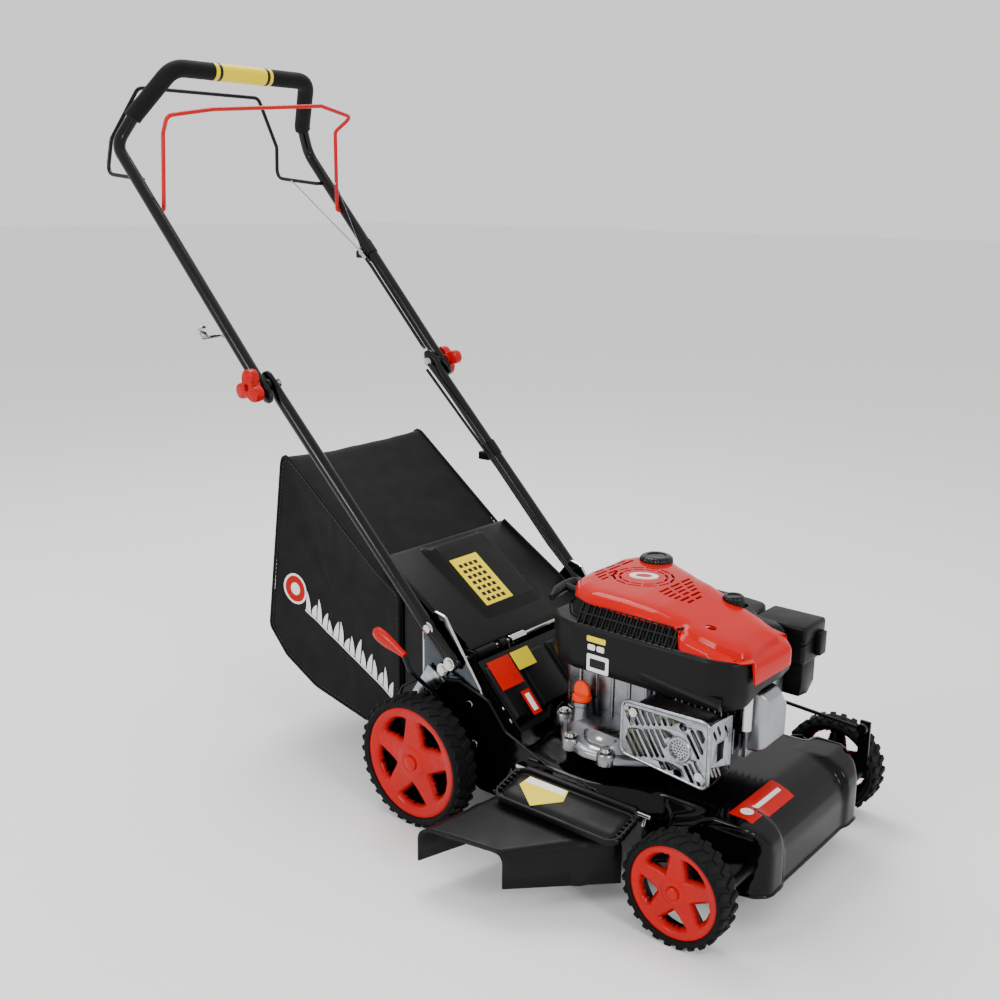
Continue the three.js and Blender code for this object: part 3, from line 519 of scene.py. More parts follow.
def stitchTree():
    # short rounded stitches laid end to end along the edges that it is given
    tree, given = newTree("seamStitches", [("Pitch", "Float"), ("Length", "Float"), ("Thread", "Float"),
                                           ("Material", "Material")])
    path = addNode(tree, "GeometryNodeMeshToCurve", {"Mesh": given["Geometry"]})
    spots = addNode(tree, "GeometryNodeCurveToPoints",
                    {"Curve": path.outputs["Curve"], "Length": given["Pitch"]},
                    mode="LENGTH")
    stitch = addNode(tree, "GeometryNodeMeshCylinder", {"Vertices": 6, "Radius": given["Thread"],
                                                        "Depth": given["Length"]})
    laid = addNode(tree, "GeometryNodeInstanceOnPoints", {"Points": spots.outputs["Points"],
                                                          "Instance": stitch.outputs["Mesh"],
                                                          "Rotation": spots.outputs["Rotation"]})
    return closeTree(tree, laid.outputs["Instances"], given)


trees = {"row": rowTree(), "ring": ringTree(), "bolts": boltTree(), "stitches": stitchTree()}


def grow(treeName, values, points=(), edges=()):
    # runs a tree on a few points and gives back its mesh, in millimetres
    start = bpy.data.meshes.new("seed")
    start.from_pydata([tuple(p) for p in points], edges, [])
    carrier = bpy.data.objects.new("seed", start)
    scene.collection.objects.link(carrier)
    modifier = carrier.modifiers.new("tree", "NODES")
    modifier.node_group = trees[treeName]
    for socket in trees[treeName].interface.items_tree:
        if socket.in_out == "INPUT" and socket.name in values:
            modifier[socket.identifier] = values[socket.name]
    bpy.context.view_layer.update()
    grown = bpy.data.meshes.new_from_object(carrier.evaluated_get(bpy.context.evaluated_depsgraph_get()))
    carrier.modifiers.clear()
    bpy.data.objects.remove(carrier)
    return grown


def grownPiece(name, treeName, values, body, points=(), edges=(), place=Matrix.Identity(4), crease=32,
               bevel=0.0):
    data = grow(treeName, values, points, edges)
    if bevel:
        shape = bmesh.new()
        shape.from_mesh(data)
        soften(shape, bevel, 1)
        shape.to_mesh(data)
        shape.free()
    data.transform(toScene @ place)
    if (toScene @ place).determinant() < 0:
        data.flip_normals()
    return showMesh(name, data, body, crease=crease)


def boltsOn(name, body, spots, turn, head=6.5, height=5.0, washer=9.0, shine=None):
    values = {"Head Radius": head, "Head Height": height, "Washer Radius": washer, "Turn": turn,
              "Material": shine or chrome}
    return grownPiece(name, "bolts", values, body, points=spots, bevel=0.5)


alongX = (0.0, math.pi / 2, 0.0)
alongZ = (0.0, 0.0, 0.0)
print("tools ready")


# deck: one pressed shell, open below
deckForm = {"dome": [(0, 20), (208, 20), (208, 84), (204, 112), (194, 132), (180, 143), (158, 141),
                     (132, 150),
                     (122, 164), (0, 164)], "crankY": -241, "rim": 50, "grid": 0.0036, "wall": 2.4}


def buildDeck():
    crank = (0, deckForm["crankY"], 0)
    dome = lathe([(max(r, 0.01), z) for r, z in deckForm["dome"]], crank, "z", 96)
    apron = prism("x", -140, 140, [(-533, 20), (-532, 92), (-526, 110), (-514, 126), (-496, 137), (-474, 144),
                                   (-360, 141), (-360, 20)])

    def fender():
        shape = prism("x", 98, 160, [(-537, 20), (-537, 104), (-533, 120), (-524, 132), (-501, 144),
                                     (-455, 144),
                                     (-432, 128), (-396, 112), (-396, 20), (-501, 20), (-515, 20),
                                     (-526, 20)])
        for vert in shape.verts:  # the outer corner is drawn in, seen from above
            if vert.co.x > 150:
                vert.co.x -= 30 * max(0, (-vert.co.y - 500) / 37) ** 2
        return shape

    data = bpy.data.meshes.new("deckBlank")
    whole = combine(dome, apron, bothSides(fender))
    moved(whole, toScene)
    whole.to_mesh(data)
    whole.free()
    blank = bpy.data.objects.new("deckBlank", data)
    scene.collection.objects.link(blank)
    remesh = blank.modifiers.new("press", "REMESH")
    remesh.mode = "VOXEL"
    remesh.voxel_size = deckForm["grid"]
    smooth = blank.modifiers.new("radii", "SMOOTH")
    smooth.factor = 0.6
    smooth.iterations = 10
    bpy.context.view_layer.update()
    pressed = bpy.data.meshes.new_from_object(blank.evaluated_get(bpy.context.evaluated_depsgraph_get()))
    bpy.data.objects.remove(blank)
    shell = bmesh.new()
    shell.from_mesh(pressed)
    moved(shell, toScene.inverted())
    everything = lambda: shell.verts[:] + shell.edges[:] + shell.faces[:]
    bmesh.ops.bisect_plane(shell, geom=everything(), plane_co=(0, 0, deckForm["rim"]), plane_no=(0, 0, -1),
                           clear_outer=True)
    openings = [(-240, -150, -362, -170, 30, 104), (-57, 140, -80, 0, 66, 133),
                (-126, -58, -95, -20, 114, 133), (-240, -183.4, -391, -158, 104, 141)]
    for x0, x1, y0, y1, z0, z1 in openings:
        inside = lambda c, slack: (x0 - slack < c.x < x1 + slack and y0 - slack < c.y < y1 + slack
                                   and z0 - slack < c.z < z1 + slack)
        planes = [((x0, 0, 0), (1, 0, 0)), ((x1, 0, 0), (1, 0, 0)), ((0, y0, 0), (0, 1, 0)),
                  ((0, y1, 0), (0, 1, 0)), ((0, 0, z0), (0, 0, 1)), ((0, 0, z1), (0, 0, 1))]
        for point, normal in planes:
            near = [f for f in shell.faces if inside(f.calc_center_median(), 8)]
            geom = list({e for f in near for e in f.edges} | {v for f in near for v in f.verts}) + near
            bmesh.ops.bisect_plane(shell, geom=geom, plane_co=point, plane_no=normal)
        bmesh.ops.delete(shell, geom=[f for f in shell.faces if inside(f.calc_center_median(), 0)],
                         context="FACES")
    # the rolled lower edge follows the open rim
    rimEdges = [e for e in shell.edges if e.is_boundary
                and all(abs(v.co.z - deckForm["rim"]) < 0.5 for v in e.verts)]
    for edge in bmesh.ops.extrude_edge_only(shell, edges=rimEdges)["geom"]:
        if isinstance(edge, bmesh.types.BMVert):
            out = Vector((edge.co.x, edge.co.y + 300, 0)).normalized()
            edge.co += out * 3.2 + Vector((0, 0, -2))
    bmesh.ops.recalc_face_normals(shell, faces=shell.faces)
    made = piece("deck_shell", shell, deckEnamel, "chassis", ["deck"], crease=50)
    wall = made.modifiers.new("wall", "SOLIDIFY")
    wall.thickness = deckForm["wall"] / 1000
    wall.offset = -1
    return made


buildDeck()
print("deck pressed")

# wheels
wheelForms = {
    "rear": {"radius": 100, "rim": 86, "width": 45, "outer": 247, "y": 0, "lugs": 68,
             "lug": (22.0, 9.5, 4.6)},
    "front": {"radius": 74.5, "rim": 63, "width": 42, "outer": 251, "y": -458, "lugs": 52,
              "lug": (20.5, 9.0, 4.6)},
}


def windowDistance(px, py, corners):
    # signed distance to a polygon, below zero inside
    best = np.full(px.shape, 1e9)
    inside = np.zeros(px.shape, bool)
    for (ax, ay), (bx, by) in zip(corners, corners[1:] + corners[:1]):
        ex, ey = bx - ax, by - ay
        t = np.clip(((px - ax) * ex + (py - ay) * ey) / (ex * ex + ey * ey), 0, 1)
        best = np.minimum(best, np.hypot(px - ax - t * ex, py - ay - t * ey))
        crosses = ((ay > py) != (by > py)) & (px < ex * (py - ay) / (by - ay + 1e-12) + ax)
        inside ^= crosses
    return np.where(inside, -best, best)


def rimFace(form):
    # polar net: height from a dished profile, windows sunk with rounded flanks and cut through at their floor
    rim, half = form["rim"], form["width"] / 2
    rounds, rows = 200, 54
    flank, sink, corner = rim * 0.085, 15.0, rim * 0.07
    angles = np.arange(rounds) * 2 * math.pi / rounds
    radii = np.linspace(0.5, rim, rows)
    r, t = np.meshgrid(radii, angles, indexing="ij")
    height = np.interp(r / rim, [0, 0.12, 0.15, 0.2, 0.24, 0.32, 0.5, 0.8, 0.9, 0.955, 1.0],
                       [half - 6.5, half - 6.5, half - 5.6, half - 5.2, half - 5.8, half - 8, half - 9,
                        half - 7.5, half - 5.4, half - 4.4, half - 5.6])

    def distance(px, py):
        nearest = np.full(px.shape, 1e9)
        for k in range(5):
            mid = 2 * math.pi * (k + 0.5) / 5 + math.pi / 2
            corners = [(rim * s * math.cos(mid + a), rim * s * math.sin(mid + a))
                       for s, a in ((0.42, 0), (0.77, 0.4), (0.8, 0.2), (0.81, 0), (0.8, -0.2), (0.77, -0.4))]
            nearest = np.minimum(nearest, windowDistance(px, py, corners))
        return nearest - corner

    px, py = r * np.cos(t), r * np.sin(t)
    d = distance(px, py)
    share = np.clip(-d / flank, 0, 1)
    floor = d < -flank
    step = 0.05
    for _ in range(3):  # draw the cut edge onto the window's true outline
        d = distance(px, py)
        gx = (distance(px + step, py) - d) / step
        gy = (distance(px, py + step) - d) / step
        near = (np.abs(d + flank) < 1.6)
        px = np.where(near, px - (d + flank) * gx, px)
        py = np.where(near, py - (d + flank) * gy, py)
    height = height - sink * (1 - np.sqrt(np.clip(1 - share ** 2, 0, 1)))
    shape = bmesh.new()
    net = [[shape.verts.new((height[i, k], px[i, k], py[i, k])) for k in range(rounds)] for i in range(rows)]
    for i in range(rows - 1):
        for k in range(rounds):
            n = (k + 1) % rounds
            if not (floor[i, k] or floor[i + 1, k] or floor[i + 1, n] or floor[i, n]):
                shape.faces.new((net[i][k], net[i + 1][k], net[i + 1][n], net[i][n]))
    shape.faces.new(net[0][::-1])
    bmesh.ops.delete(shape, geom=[v for v in shape.verts if not v.link_faces], context="VERTS")
    bmesh.ops.recalc_face_normals(shape, faces=shape.faces)
    if sum(f.normal.x for f in shape.faces) < 0:
        bmesh.ops.reverse_faces(shape, faces=shape.faces)
    return shape


def buildWheel(axle, side):
    form = wheelForms[axle]
    node = axle + "_" + ("right" if side < 0 else "left")
    body = node + "_wheel"
    half, rim, radius = form["width"] / 2, form["rim"], form["radius"]
    place = Matrix.Translation((side * (form["outer"] - half), form["y"], radius))
    if side < 0:
        place = place @ Matrix.Scale(-1, 4, (1, 0, 0))
    base = radius - 2.6
    seat = rim + 0.4
    carcass = lathe([(seat, half - 3.5), (seat + 3, half - 2.2), (seat + 5, half - 1.2),
                     (base - 5.5, half - 0.8),
                     (base - 2, half - 2.6), (base, half - 6), (base + 0.3, 0), (base, -half + 6),
                     (base - 2, -half + 2.6), (base - 5.5, -half + 0.8), (seat + 3, -half + 2.2),
                     (seat, -half + 3.5)], (0, 0, 0), "x", 120, closed=True)
    piece(node + "_carcass", moved(carcass, place), tyreRubber, body, [node + "_tyre"],
          crease=40)
    tread = {"Count": form["lugs"], "Radius": radius - form["lug"][2] / 2,
             "Shift": half - form["lug"][0] / 2 - 0.4,
                     "Size": (form["lug"][0] * 0.93, form["lug"][1], form["lug"][2]), "Skew": 0.34,
                     "Material": tyreRubber}
    grownPiece(node + "_tread", "ring", tread, body, place=place, bevel=1.2)
    face = rimFace(form)
    moved(face, place)
    made = piece(node + "_spokes", face, [mouldedRed, mouldedBlack], body, [node + "_rim"],
                 crease=60)
    wall = made.modifiers.new("wall", "SOLIDIFY")
    wall.material_offset = 1  # red face, black back
    wall.thickness = 0.003
    wall.offset = -1
    barrel = lathe([(rim, half - 5.4), (rim, -half + 6), (rim - 4, -half + 6), (rim - 5, half - 7.5)],
                   (0, 0, 0), "x", 96, closed=True)
    hub = lathe([(6.6, -half - 0.8), (rim * 0.2, -half - 0.8), (rim * 0.24, half - 8), (6.6, half - 9)],
                (0, 0, 0), "x", 40, closed=True)
    ribs = [moved(box(-half + 9, half - 9, -1.4, 1.4, rim * 0.2, rim - 3),
                  Matrix.Rotation(2 * math.pi * k / 5, 4, "X"))
            for k in range(5)]
    cap = lathe([(0.01, half - 1.8), (rim * 0.1, half - 2), (rim * 0.13, half - 3.4),
                 (rim * 0.14, half - 6.8), (0.01, half - 6.8)], (0, 0, 0), "x", 48)
    piece(node + "_barrel", moved(combine(barrel, hub, *ribs), place), mouldedBlack, body)
    piece(node + "_cap", moved(cap, place), mouldedRed, body)
    if axle == "rear":  # cover over the drive pinion's ring, inside the rim
        shield = lathe([(6.8, -half + 9), (rim * 0.3, -half + 7), (rim * 0.7, -half + 7),
                        (rim - 4.4, -half + 10),
                        (rim - 4.4, -half + 11.5), (6.8, -half + 11.5)], (0, 0, 0), "x", 72, closed=True)
        piece(node + "_dust_cover", moved(shield, place), mouldedBlack, body)


for axle in ("rear", "front"):
    for side in (-1, 1):
        buildWheel(axle, side)
print("wheels built")

# handle
handle = {"tube": 10.2, "foam": 14.6, "bail": 3.5, "fold": (351, 625), "upper": 210.4}
onTube = lambda y: 602 + (y - 329) * 394 / 374


def bothEnds(stretch):
    return [Vector(p) for p in stretch] + [Vector((-x, y, z)) for x, y, z in reversed(stretch)]


def buildHandle():
    radius = handle["tube"]
    stretch = [(-210.4, 329, 602), (-213.4, 703, 996), (-186, 688, 1044), (-146, 627, 1121)]
    route = roundCorners(bothEnds(stretch), 34, 8)
    away = (route[1] - route[0]).normalized()
    route[1:1] = [route[0] + away * d for d in (6, 14, 22, 36, 60)]
    away = (route[-2] - route[-1]).normalized()
    route[-1:-1] = [route[-1] + away * d for d in (60, 36, 22, 14, 6)]
    # both ends are pressed flat where the knob's stud passes, and rounded off
    flat = [(4.6, 5), (5.2, 11), (5.8, 13), (6.2, 12.8), (8.6, 11.4)]
    sizes = flat + [(radius, radius)] * (len(route) - 2 * len(flat)) + flat[::-1]
    tube = sweep(route, sizes, 24, across=(1, 0, 0))
    piece("handle_tube", tube, tubeCoat, "upper_handle", ["upper_handle"])
    first = next(i for i, p in enumerate(route) if p.z > 1020)
    covered = route[first:len(route) - first]
    foam = handle["foam"]
    ends = [(foam - 3, foam - 3)] + [(foam, foam)] * (len(covered) - 2) + [(foam - 3, foam - 3)]
    piece("foam_sleeve", sweep(covered, ends, 24), foamSkin, "upper_handle", ["foam_grip"], crease=50)

    for side, name in ((-1, "right"), (1, "left")):
        foot = Vector((side * 183.7, -39, 242))
        knob = Vector((side * 189.2, *handle["fold"]))
        way = (knob - foot).normalized()
        spots = [0, 2, 5, 12, 30, 56, 76, 96]
        line = [foot + way * s for s in spots] + [knob + way * s for s in (-40, -24, -12, 0, 12, 18, 22, 24)]
        sizes = [(4.4, 5), (4.8, 9.5), (5, 12.6), (5.2, 13.4), (5.6, 13.2), (7, 12.6), (9.4, 10.9),
                 (radius, radius),
                 (radius, radius), (8.6, 11.4), (6.2, 12.8), (5.8, 13.2), (5.6, 13), (5.2, 11), (4.8, 7.5),
                 (4.4, 3)]
        piece(name + "_foot_tube", sweep(line, sizes, 24, across=(1, 0, 0)), tubeCoat, "chassis",
              [name + "_lower_tube"])


def lobedKnob(side, angle):
    # three round lobes on a coned hub, with a blind hole in the face
    y, z = handle["fold"]
    rings = []
    for depth, scale in ((223.5, 0.88), (225, 0.97), (228, 1), (236, 1), (239, 0.97), (240.6, 0.88)):
        ring = []
        for k in range(96):
            t = 2 * math.pi * k / 96
            r = scale * (22.6 + 7.6 * math.cos(3 * (t - angle)) - 1.4 * math.cos(6 * (t - angle)))
            ring.append((side * depth, y + r * math.cos(t), z + r * math.sin(t)))
        rings.append(ring)
    for depth, r in ((240.6, 6.4), (239.6, 5.6), (234, 5), (234, 0.05)):
        rings.append([(side * depth, y + r * math.cos(t), z + r * math.sin(t))
                      for t in (2 * math.pi * k / 96 for k in range(96))])
    hub = lathe([(0.01, 219), (10.6, 219), (11.2, 221), (10.4, 229), (0.01, 229)], (0, y, z), "x", 32)
    if side < 0:
        hub = moved(hub, Matrix.Scale(-1, 4, (1, 0, 0)))
    return combine(loft(rings), hub)


def buildKnobs():
    for side, name, angle in ((-1, "right", 1.66), (1, "left", 0.7)):
        piece(name + "_fold_knob", lobedKnob(side, angle), mouldedRed, name + "_knob",
              [name + "_knob"], crease=40)
        y, z = handle["fold"]
        stud = sweep([(side * 174, y, z), (side * 224, y, z)], 4, 16)
        spacer = lathe([(4.2, side * 196.4), (9.4, side * 196.4), (9.4, side * 203.2), (4.2, side * 203.2)],
                       (0, y, z), "x", 28, closed=True)
        piece(name + "_knob_stud", stud, chrome, name + "_knob")
        piece(name + "_fold_spacer", spacer, mouldedBlack, "chassis")
        boltsOn(name + "_stud_head", name + "_knob", [(side * 175, y, z)], alongX, 6.5, 5, 8)


def buildBails():
    drive = [(-207.4, 660, 940), (-191, 660, 940), (-190, 771, 950), (-184, 762, 1008), (-132, 750, 1096)]
    route = roundCorners(bothEnds(drive), 18, 8)
    piece("drive_bail_rod", sweep(route, handle["bail"], 14), wireBlack, "drive_bail",
          ["drive_bail"])
    side = lambda s, rise: [(s * 207.4, 605, 890), (s * 195, 605, 890), (s * 191, 601, 1022 + rise),
                            (s * 203, 570, 1048 + rise), (s * 120, 560, 1062 + rise)]
    route = roundCorners(side(-1, -8) + side(1, 12)[::-1], 12, 8)
    piece("brake_bail_rod", sweep(route, handle["bail"], 14), wireRed, "brake_bail",
          ["brake_bail"])


def buildCables():
    beside = lambda y, across, below: Vector((handle["upper"] - across, y + 0.72 * below,
                                              onTube(y) - 0.69 * below))
    uppers = {"drive_cable_upper": [Vector((198, 548, 818)), beside(510, 12, 8), beside(378, 12, 8)],
              "brake_cable_upper": [Vector((205, 545, 812)), beside(505, 3, 14), beside(378, 3, 14)]}
    for node, route in uppers.items():
        line = roundCorners(route, 30, 8)
        piece(node + "_jacket", sweep(line, 2.6, 12), jacketPvc, "upper_handle", [node])
        barrel = lathe([(0.01, 0), (2, 0), (2, 16), (4, 17), (4.2, 30), (5.2, 30), (5.2, 35), (3.4, 35),
                        (3.4, 44), (0.01, 44)], (0, 0, 0), "z", 14)
        turn = (line[0] - line[1]).to_track_quat("Z", "Y").to_matrix().to_4x4()
        start = Matrix.Translation(line[0] - (line[0] - line[1]).normalized() * 40) @ turn
        piece(node + "_adjuster", moved(barrel, start), chrome, "upper_handle")
    lowers = {
        "drive_cable_lower": [(172, 346, 622), (168, 255, 543), (165, 180, 470), (161, 60, 352),
                              (158, -10, 292),
                              (157, -60, 294), (140, -95, 300), (88, -125, 308), (46, -152, 318)],
        "brake_cable_lower": [(181, 358, 610), (174, 262, 528), (171, 180, 456), (168, 60, 338),
                              (166, -10, 280),
                              (164, -64, 284), (146, -100, 290), (104, -126, 298), (74, -154, 308)]}
    for node, route in lowers.items():
        line = roundCorners(route, 60, 6)
        piece(node + "_jacket", sweep(line, 2.6, 12), jacketPvc, "chassis", [node])
    # clips that hold the jackets to the tubes
    for spot, body, name in ((537, "upper_handle", "upper_cable_clip"), (205, "chassis", "lower_cable_clip")):
        x = 211.2 if body == "upper_handle" else 186.8
        z = onTube(spot) if body == "upper_handle" else 242 + (spot + 39) * 383 / 390
        way = Vector((0, 0.69, 0.72))
        clip = sweep([Vector((x, spot, z)) + way * s for s in (-15, -14, 14, 15)],
                     [(10.6, 10.6), (12.2, 12.2), (12.2, 12.2), (10.6, 10.6)], 28)
        ear = moved(soften(box(-7, 5, -13, 11, -7, 7), 2, 3), Matrix.Translation((x - 8, spot + 9, z - 11)))
        piece(name, combine(clip, ear), mouldedBlack, body)
    # bare inner wires run from the adjusters to the two bails
    inner = {"drive": ((198, 549, 818), (188, 722, 943)), "brake": ((205, 546, 812), (193, 604, 940))}
    for name, (low, high) in inner.items():
        low, high = Vector(low), Vector(high)
        wire = sweep([low.lerp(high, t) for t in np.linspace(0, 1, 16)], 0.8, 8)
        nipple = sweep([high - Vector((3.4, 0, 0)), high + Vector((3.4, 0, 0))], 2.6, 12)
        data = bpy.data.meshes.new(name + "_inner_wire")
        moved(wire, toScene).to_mesh(data)
        data.materials.append(turnedSteel)
        data.shade_smooth()
        strand = bpy.data.objects.new(name + "_inner_wire", data)
        scene.collection.objects.link(strand)
        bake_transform(strand)
        piece(name + "_wire_nipple", nipple, chrome, name + "_bail")
    hook = roundCorners([(-204, 445, 697), (-236, 445, 695.5), (-249, 445, 695), (-255, 446, 703),
                         (-249, 449, 712), (-239, 451, 711)], 7, 6)
    prong = roundCorners([(-240, 443, 697), (-247, 440, 703), (-259, 438, 709)], 5, 5)
    eye = lathe([(3, -1.5), (6.5, -1.5), (6.5, 1.5), (3, 1.5)], (0, 0, 0), "x", 20, closed=True)
    nut = moved(eye, Matrix.Translation((-204, 445, 697)) @ Matrix.Rotation(0.3, 4, "Y"))
    piece("rope_guide", combine(sweep(hook, 3, 12), sweep(prong, 3, 12), nut), chrome, "upper_handle")


buildHandle()
buildKnobs()
buildBails()
buildCables()
print("handle built")

# grass bag
bag = {"half": 158, "outline": [(103, 96), (180, 88), (300, 113), (372, 150), (414, 194), (368, 511),
                                (150, 346), (103, 318)], "sag": 9, "crease": 3.2}


def buildBag():
    outline = roundCorners([Vector((0, y, z)) for y, z in bag["outline"]], 16, 6, closed=True)
    total = [0.0]
    for a, b in zip(outline, outline[1:] + outline[:1]):
        total.append(total[-1] + (b - a).length)
    count = 150
    loop = []
    for k in range(count):
        goal = total[-1] * k / count
        i = max(j for j in range(len(outline)) if total[j] <= goal)
        a, b = outline[i], outline[(i + 1) % len(outline)]
        loop.append(a.lerp(b, (goal - total[i]) / max(total[i + 1] - total[i], 1e-6)))
    middle = sum(loop, Vector()) / count
    half = bag["half"]
    rows = []  # from the near panel's middle, over its edge, across, and to the far panel's middle
    panel = [0.04, 0.15, 0.28, 0.4, 0.52, 0.64, 0.75, 0.85, 0.92, 0.965, 0.99]
    slack = lambda s: bag["sag"] * (1 - s) ** 0.5 * min(1, (1 - s) * 4)
    for s in panel:
        rows.append([Vector((-half + slack(s), *(middle.lerp(p, s)).yz)) for p in loop])
    for x in np.linspace(-half + 1.5, half - 1.5, 40):
        hang = 1 - (x / half) ** 2
        rows.append([Vector((x, *(middle.lerp(p, 1 - 0.02 * hang)).yz)) for p in loop])
    for s in panel[::-1]:
        rows.append([Vector((half - slack(s), *(middle.lerp(p, s)).yz)) for p in loop])
    for ring in rows:  # soft folds run down from the frame, shallow near the seams
        for p in ring:
            free = min(1.0, max(0.0, (half - abs(p.x)) / 30)) if abs(p.x) < half - 12 else 1.0
            fold = noise.fractal(Vector((p.x * 0.006, p.y * 0.011 + p.z * 0.004, p.z * 0.006)), 1.0, 2.0, 3)
            ripple = noise.noise(Vector((p.x * 0.02, p.y * 0.03, p.z * 0.03)))
            push = bag["crease"] * free * (fold + 0.35 * ripple)
            out = (p - Vector((0, *middle.yz))).normalized()
            p -= out * abs(push)
    shell = loft(rows)
    # the mouth is open where it meets the tunnel
    mouth = [f for f in shell.faces if f.calc_center_median().y < 104.5
             and abs(f.calc_center_median().x) < half - 8
             and 112 < f.calc_center_median().z < 306]
    bmesh.ops.delete(shell, geom=mouth, context="FACES")
    cloth = shell.loops.layers.uv.new("cloth")
    for face in shell.faces:
        n = face.normal
        for corner in face.loops:
            p = corner.vert.co / 1000
            if abs(n.x) > 0.6:
                corner[cloth].uv = (p.y, p.z)
            elif abs(n.z) > abs(n.y):
                corner[cloth].uv = (p.x, p.y)
            else:
                corner[cloth].uv = (p.x, p.z)
    made = piece("bag_cloth_shell", shell, bagCloth, "grass_bag", ["bag_fabric"], crease=70)
    wall = made.modifiers.new("wall", "SOLIDIFY")
    wall.thickness = 0.0016
    wall.offset = -1
    bindings = []
    for side in (-1, 1):
        seam = [Vector((side * (half - 0.5), p.y, p.z)) for p in loop]
        out = [(p - Vector((p.x, *middle.yz))).normalized() for p in seam]
        ring = [p + o * 0.4 for p, o in zip(seam, out)]
        ring = ring + [ring[0]]
        bindings.append(sweep(ring, 2.6, 10, capped=False))
    binding = combine(*bindings)
    strap = binding.loops.layers.uv.new("cloth")
    for face in binding.faces:
        for corner in face.loops:
            corner[strap].uv = (corner.vert.co.y / 1000, corner.vert.co.z / 1000)
    piece("bag_seam_binding", binding, bagCloth, "grass_bag", crease=60)
    thread = finish("charcoalSewingThread", "2c2d30", 0.6, grain=(0.8, 0.05))
    for side, name in ((-1, "near"), (1, "far")):
        line = [Vector((side * (half + 0.2), *(middle.lerp(p, 0.972)).yz)) for p in loop]
        edges = [(i, (i + 1) % count) for i in range(count)]
        grownPiece(f"bag_stitches_{name}", "stitches", {"Pitch": 7.5, "Length": 5.0, "Thread": 0.55,
                                                        "Material": thread}, "grass_bag",
                   points=line, edges=edges)


buildBag()
print("bag sewn")


# engine
cowlForm = {
    "plan": [(-30, -162), (-72, -171), (-104, -194), (-119, -226), (-121, -300), (-121, -374), (-136, -384),
             (-134, -436), (-122, -472), (-106, -481), (-4, -483), (12, -466), (34, -406), (38, -366),
             (56, -308), (82, -262), (101, -232), (106, -205), (94, -180), (60, -164)],
    "top": ([-485, -470, -430, -400, -360, -330, -290, -160], [351, 355, 364, 370, 379, 385, 388, 388]),
    "rear": [(0, 20), (1.5, 12), (5, 6.5), (11, 2.6), (19, 0.7), (28, 0)],  # inset and drop of each ring
    "front": [(0, 17), (2, 12.5), (8, 10), (16, 8.4), (19, 2.2), (27, 0)],
    "spine": [(-4, -232), (-38, -408)], "wall": 2.6,
}


def evenly(points, count):
    reach = [0.0]
    for a, b in zip(points, points[1:] + points[:1]):
        reach.append(reach[-1] + (b - a).length)
    line = []
    for k in range(count):
        goal = reach[-1] * k / count
        i = max(j for j in range(len(points)) if reach[j] <= goal)
        line.append(points[i].lerp(points[(i + 1) % len(points)],
                                   (goal - reach[i]) / max(reach[i + 1] - reach[i], 1e-6)))
    return line


def easeTo(value, low, high):
    t = min(1.0, max(0.0, (value - low) / (high - low)))
    return t * t * (3 - 2 * t)


def cowlRings():
    plan = evenly(roundCorners([Vector((x, y, 0)) for x, y in cowlForm["plan"]], 16, 5, closed=True), 220)
    a, b = (Vector((x, y, 0)) for x, y in cowlForm["spine"])
    heart = []
    for p in plan:
        t = min(1.0, max(0.0, (p - a).dot(b - a) / (b - a).length_squared))
        heart.append(a.lerp(b, t))
    top = lambda p: float(np.interp(p.y, *cowlForm["top"]))

    def floor(p):
        if p.y < -466 and p.x > -108:
            return 315.0
        if p.x < -70 and p.y > -379:
            return 369.0 + easeTo(p.y, -300, -200) * 3
        return 347.6

    rings = [[Vector((p.x, p.y, floor(p))) for p in plan]]
    for (insetA, dropA), (insetB, dropB) in zip(cowlForm["rear"], cowlForm["front"]):
        ring = []
        for p, h in zip(plan, heart):
            w = 1 - easeTo(p.y, -400, -352)
            inset, drop = insetA * (1 - w) + insetB * w, dropA * (1 - w) + dropB * w
            q = p + (h - p).normalized() * inset
            ring.append(Vector((q.x, q.y, max(top(p) * 0.35 + top(q) * 0.65 - drop,
                                              rings[0][len(ring)].z + 0.4))))
        rings.append(ring)
    last = rings[-1]
    for share in (0.2, 0.42, 0.65, 0.85, 0.97):
        rings.append([Vector((*q.lerp(h, share).xy, top(q.lerp(h, share)))) for q, h in zip(last, heart)])
    return rings


def cowlSlots():
    # long slots over the fan, in rows that step with the outline, and short ones round the badge
    groups = []
    for y, x0, x1 in ((-172, -20, 28), (-181, -40, 44), (-190, -52, 52), (-199, -58, -6), (-208, -62, -18),
                      (-300, -52, 34), (-309, -56, 26), (-318, -58, 16), (-327, -58, 8), (-336, -56, 0),
                      (-345, -52, -10)):
        pieces = 3 if x1 - x0 > 60 else 2
        step = (x1 - x0) / pieces
        groups.append({"Count": pieces, "First": (x0 + step / 2, y, 384), "Step": (step, 0, 0),
                       "Size": (step - 5, 4.2, 26)})
    for radius, size in ((34, 15), (43, 19)):
        for k in range(12):
            angle = 2 * math.pi * (k + 0.5) / 12
            if abs(math.sin(angle)) < 0.97:
                groups.append({"Count": 1, "Step": (0, 0, 0), "Size": (3.6, size, 26), "Turn": (0, 0, angle),
                               "First": (-8 + radius * math.cos(angle), -246 + radius * math.sin(angle),
                                         384)})
    whole = bmesh.new()
    for values in groups:
        part = grow("row", {"Material": cowlRed, "Turn": (0, 0, 0), **values})
        whole.from_mesh(part)
        bpy.data.meshes.remove(part)
    return whole


